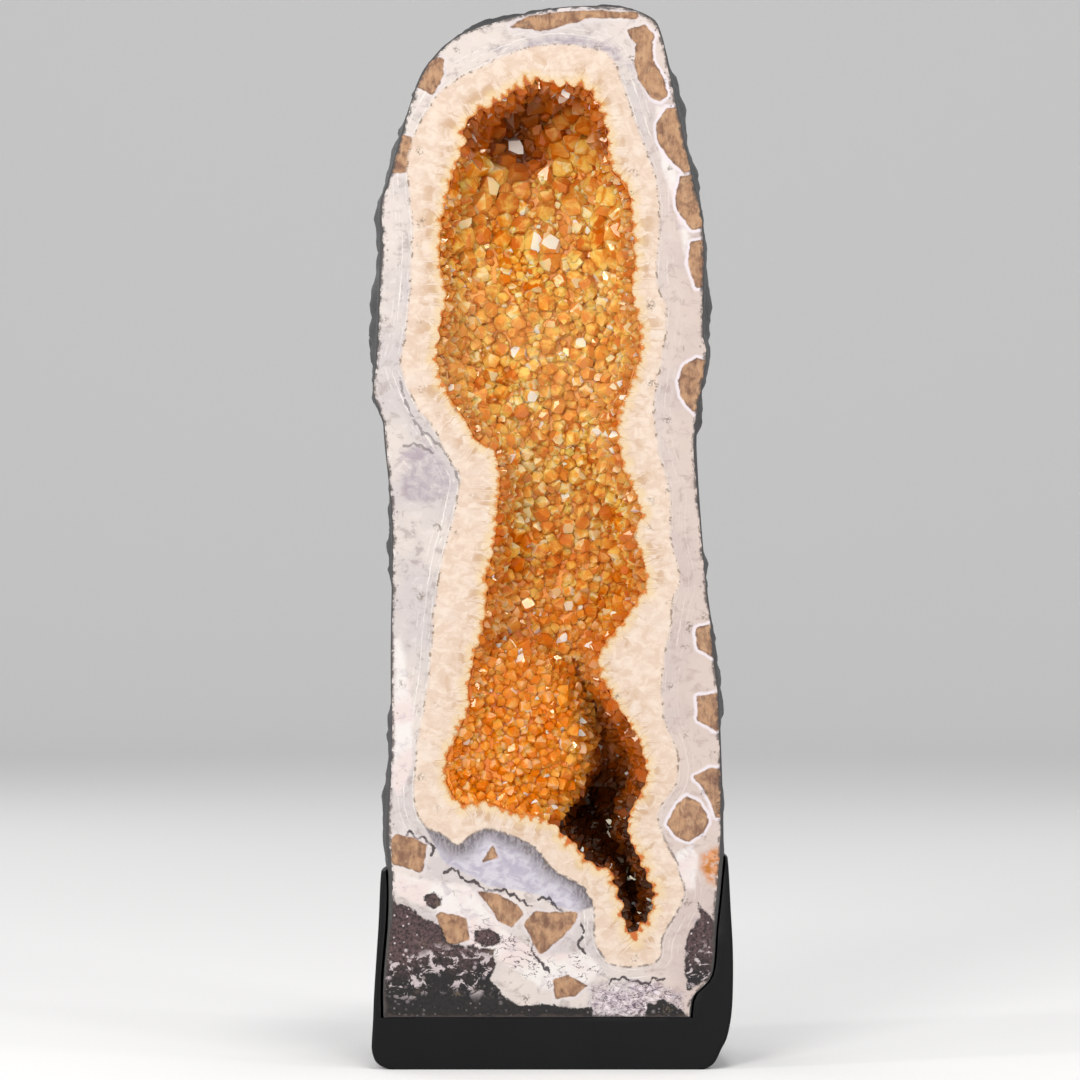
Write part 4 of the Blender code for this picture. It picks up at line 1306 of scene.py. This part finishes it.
def crystal_layer(graph, crust_in, layer):
    """Crystals of one size on the part of the crust where they belong."""
    zone, spacing_mm, fullness, lean_degrees, first_seed = layer
    scale, lean, seed = (crust_in.output(name) for name in ("Scale", "Lean", "Seed"))

    def chance(kind, low, high, step):
        return graph.node("FunctionNodeRandomValue", {"data_type": kind},
                          {"Min": low, "Max": high, "Seed": seed + first_seed + step}, "Value")

    apart = scale * (spacing_mm * MM)
    weight = graph.node("GeometryNodeInputNamedAttribute", {"data_type": "FLOAT"}, {"Name": zone},
                        "Attribute")
    points = graph.node("GeometryNodeDistributePointsOnFaces", {"distribute_method": "POISSON"},
                        {"Mesh": crust_in, "Distance Min": apart, "Density Max": CROWDING / (apart * apart),
                         "Density Factor": weight, "Seed": seed + first_seed})
    # A crystal grows no larger than the room between its root and the plane of the face
    _, root_y, _ = graph.parts(graph.node("GeometryNodeInputPosition"))
    _, normal_y, _ = graph.parts(points.output("Normal"))
    fitting = (root_y - LIMIT) / (SIDE_REACH - normal_y * TIP_REACH)
    full_size = apart * (fullness / 2) * chance("FLOAT", *SIZE_RANGE, 4)
    size = graph.math("MINIMUM", full_size, graph.math("MAXIMUM", fitting, 0.0))
    kept = graph.node("GeometryNodeDeleteGeometry", {"domain": "POINT"},
                      {"Geometry": points, "Selection": graph.math("LESS_THAN", size, SMALLEST)})
    turn = lean * math.radians(lean_degrees)
    tilt = graph.vector(turn * chance("FLOAT", -1.0, 1.0, 1), turn * chance("FLOAT", -1.0, 1.0, 2),
                        chance("FLOAT", 0.0, 2 * math.pi, 3))
    turned = graph.node("FunctionNodeRotateRotation", {"rotation_space": "LOCAL"},
                        {"Rotation": points.output("Rotation"), "Rotate By": tilt})
    shapes = graph.node("GeometryNodeCollectionInfo", None,
                        {"Collection": tip_shapes, "Separate Children": True, "Reset Children": True})
    copies = graph.node("GeometryNodeInstanceOnPoints", None,
                        {"Points": kept, "Instance": shapes, "Pick Instance": True,
                         "Instance Index": chance("INT", 0, TIP_VARIANTS - 1, 5),
                         "Rotation": turned, "Scale": size})
    return graph.node("GeometryNodeStoreNamedAttribute", {"data_type": "FLOAT", "domain": "INSTANCE"},
                      {"Geometry": copies, "Name": "own", "Value": chance("FLOAT", 0.0, 1.0, 6)})


print(len(CRYSTAL_LAYERS), "layers of crystals")


# %% Crystal tree
def crystal_tree():
    """The node group that grows the crystals."""
    tree = bpy.data.node_groups.new("crystals on a crust", "GeometryNodeTree")
    for name, kind in (("Crust", "NodeSocketGeometry"), ("Scale", "NodeSocketFloat"),
                       ("Lean", "NodeSocketFloat"), ("Seed", "NodeSocketInt")):
        tree.interface.new_socket(name, in_out="INPUT", socket_type=kind)
    tree.interface.new_socket("Crystals", in_out="OUTPUT", socket_type="NodeSocketGeometry")
    graph = Graph(tree)
    crust_in = graph.node("NodeGroupInput", None, None, "Crust")
    grown = [crystal_layer(graph, crust_in, layer) for layer in CRYSTAL_LAYERS]
    joined = tree.nodes.new("GeometryNodeJoinGeometry")
    for layer in reversed(grown):
        tree.links.new(layer.socket, joined.inputs[0])
    real = graph.node("GeometryNodeRealizeInstances", None, {"Geometry": Value(graph, joined.outputs[0])})
    x, y, z = graph.parts(graph.node("GeometryNodeInputPosition"))
    pressed = graph.vector(x, graph.math("MAXIMUM", y, LIMIT), z)
    flush = graph.node("GeometryNodeSetPosition", None, {"Geometry": real, "Position": pressed})
    finished = graph.node("GeometryNodeSetMaterial", None, {"Geometry": flush, "Material": citrine})
    graph.fill(tree.nodes.new("NodeGroupOutput"), {"Crystals": finished})
    return tree


tree = crystal_tree()
print(len(tree.nodes), "nodes grow the crystals")


# %% Growing
def finished_mesh(thing):
    """The object's shape with its modifiers, as a plain mesh of its own."""
    bpy.context.view_layer.update()
    evaluated = thing.evaluated_get(bpy.context.evaluated_depsgraph_get())
    return bpy.data.meshes.new_from_object(evaluated)


bed = mesh_object("crystals_bed", front_layer, [crust_triangles], [0], [])
for name, values in {**tints, **zones}.items():
    store(bed.data, name, values)
identifiers = {item.name: item.identifier for item in tree.interface.items_tree if item.in_out == "INPUT"}
grow = bed.modifiers.new("grow", "NODES")
grow.node_group = tree
for name, value in (("Scale", 1.0), ("Lean", 1.0), ("Seed", 3)):
    grow[identifiers[name]] = value
crystals = add_object("citrine_crystals", finished_mesh(bed))
crystals.data.name = "citrine_crystals"
bpy.data.objects.remove(bed, do_unlink=True)
print("crystals", len(crystals.data.polygons), "triangles")

# %% [markdown]
# ## Cast foot
#
# The foot is poured round the lower end of the stone, so it is flat in front, round behind, and its
# collar rises highest at the sides and back. It is a loft through a few levels, with rounded lower
# corners, and the stone's own shape is then cut out of it.

# %% Shape of the foot
# Height, left edge, right edge, back, in millimetres
FOOT_LEVELS_MM = (
    (0, -69.5, 64.5, 54), (1.5, -73, 67.5, 57), (3.6, -75.2, 69.5, 59), (7.6, -76.5, 71.6, 60),
    (12, -76.5, 74, 60), (20, -76, 75.8, 60), (30, -75.6, 76.5, 58.5), (45, -74.6, 76.5, 56),
    (60, -73.6, 75.6, 53), (74, -73, 74.8, 50.9), (80, -72.5, 74.2, 49.8),
)
FOOT_TOP_LEFT, FOOT_TOP_RIGHT = 84 * MM, 90 * MM
FOOT_SQUARENESS = 2.5
FOOT_ROUNDING = 1.4 * MM                # of its upright front corners
FOOT_CURVE_STEPS, FOOT_FRONT_STEPS, FOOT_CORNER_STEPS = 96, 30, 5
SEAT_GAP = 0.15 * MM
SEAT_TOP = 130 * MM                     # the cutter need not be taller
SEAT_STEP, SEAT_TURNS = 3.5 * MM, 25
SEAT_AHEAD = 12 * MM                    # the cutter stands this far out of the face
FOOT_CREASE = math.radians(32)          # sharper edges of the foot stay edges


def foot_ring(level):
    """One level of the foot: flat at the front with rounded corners, and round at the back."""
    height, left, right, back = level * MM
    middle, half, deep = (left + right) / 2, (right - left) / 2, back - FRONT
    first = math.asin((FOOT_ROUNDING / deep) ** (FOOT_SQUARENESS / 2))
    turn = np.linspace(first, math.pi - first, FOOT_CURVE_STEPS + 1)
    x = np.sign(np.cos(turn)) * np.abs(np.cos(turn)) ** (2 / FOOT_SQUARENESS) * half
    y = np.sin(turn) ** (2 / FOOT_SQUARENESS) * deep
    corner = np.linspace(0, math.pi / 2, FOOT_CORNER_STEPS + 2)[1:]
    corner_x = half - FOOT_ROUNDING * (1 - np.cos(corner))
    corner_y = FOOT_ROUNDING * (1 - np.sin(corner))
    front_x = np.linspace(-corner_x[-1], corner_x[-1], FOOT_FRONT_STEPS + 1)[1:-1]
    x = np.concatenate([x, -corner_x, front_x, corner_x[::-1]])
    y = np.concatenate([y, corner_y, np.zeros(len(front_x)), corner_y[::-1]])
    tilt = (x / half + 1) / 2
    share = height / (FOOT_LEVELS_MM[-1][0] * MM)
    z = share * (FOOT_TOP_LEFT + (FOOT_TOP_RIGHT - FOOT_TOP_LEFT) * tilt)
    return np.column_stack([middle + x, FRONT + y, z])


def loft(name, rings, materials):
    """A closed body of rings of equal counts, with flat ends."""
    count = len(rings[0])
    rows = [np.arange(count) + i * count for i in range(len(rings))]
    sides = np.vstack([ring_faces(near, far) for near, far in zip(rows, rows[1:])])
    ends = [rows[0][::-1][None], rows[-1][None]]
    thing = mesh_object(name, np.vstack(rings), [sides, *ends], [0, 0, 0], materials)
    bm = bmesh.new()
    bm.from_mesh(thing.data)
    bmesh.ops.recalc_face_normals(bm, faces=bm.faces[:])
    bm.to_mesh(thing.data)
    bm.free()
    return thing


print("the foot's lowest ring has", len(foot_ring(np.array(FOOT_LEVELS_MM[0]))), "points")

# %% Paint of the foot
cast, graph, shader, place = finish_graph("dark satin paint")
streak = graph.noise(graph.scaled(place, (1, 1, 0.35)), 16, 3)
dust = graph.noise(place, 1.4, 3, 0.6)
surface_pointiness = graph.node("ShaderNodeNewGeometry", None, None, "Pointiness")
rubbed = surface_pointiness.step(0.52, 0.60) * streak.step(0.35, 0.6)
colour = graph.paint(graph.mix(streak, (8, 8, 9), (14, 14, 16)), (rubbed * 0.4, (64, 62, 61)))
graph.fill(shader, {"Base Color": colour, "Roughness": 0.44 + (streak - 0.5) * 0.2 + (dust - 0.5) * 0.1,
                    "Specular IOR Level": 0.15, "Normal": graph.bump(0.12, 0.2, dust)})
print(len(graph.tree.nodes), "nodes in the foot's paint")

# %% Foot with the stone's seat cut out
levels = smooth_path(FOOT_LEVELS_MM, closed=False, parts=4)
foot = loft("cast_foot_painted", [foot_ring(level) for level in levels], [cast])
seat_edge = stone_edge(SEAT_STEP)
seat_edge = seat_edge[seat_edge[:, 1] < SEAT_TOP]
seat_shares = depth_shares(SEAT_TURNS)[:-1]
seat_rings = [stone_ring(seat_edge, share, SEAT_GAP, fine=False) for share in seat_shares]
seat_rings.insert(0, seat_rings[0] - np.array([0, SEAT_AHEAD, 0]))
seat = loft("stone_seat", seat_rings, [])
cutting = foot.modifiers.new("cut", "BOOLEAN")
cutting.operation = "DIFFERENCE"
cutting.solver = "EXACT"
cutting.object = seat
foot_mesh = finished_mesh(foot)
foot.modifiers.clear()
foot.data = foot_mesh
bpy.data.objects.remove(seat, do_unlink=True)
foot_mesh.shade_smooth()
foot_mesh.set_sharp_from_angle(angle=FOOT_CREASE)
print("foot", len(foot_mesh.polygons), "faces")

# %% [markdown]
# ## Hand over
#
# Every piece rides on the one body, and the solid whose place it takes is hidden. The sizes of the
# solids and of the dressed part are written side by side.

# %% Pieces and sizes
for piece, node, slot in ((stone, "geode_stone", "banded_quartz"), (crystals, "crystal_crust", "citrine"),
                          (crust, "crystal_crust", "citrine"), (foot, "cast_foot", "dark_cast")):
    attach(piece, "root")
    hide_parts(node)
bpy.context.view_layer.update()
new_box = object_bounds()
boxes = {"cad": [list(corner) for corner in cad_box], "visual": [list(corner) for corner in new_box]}
for name, (low, high) in boxes.items():
    print(name, [round((b - a) / MM, 1) for a, b in zip(low, high)])
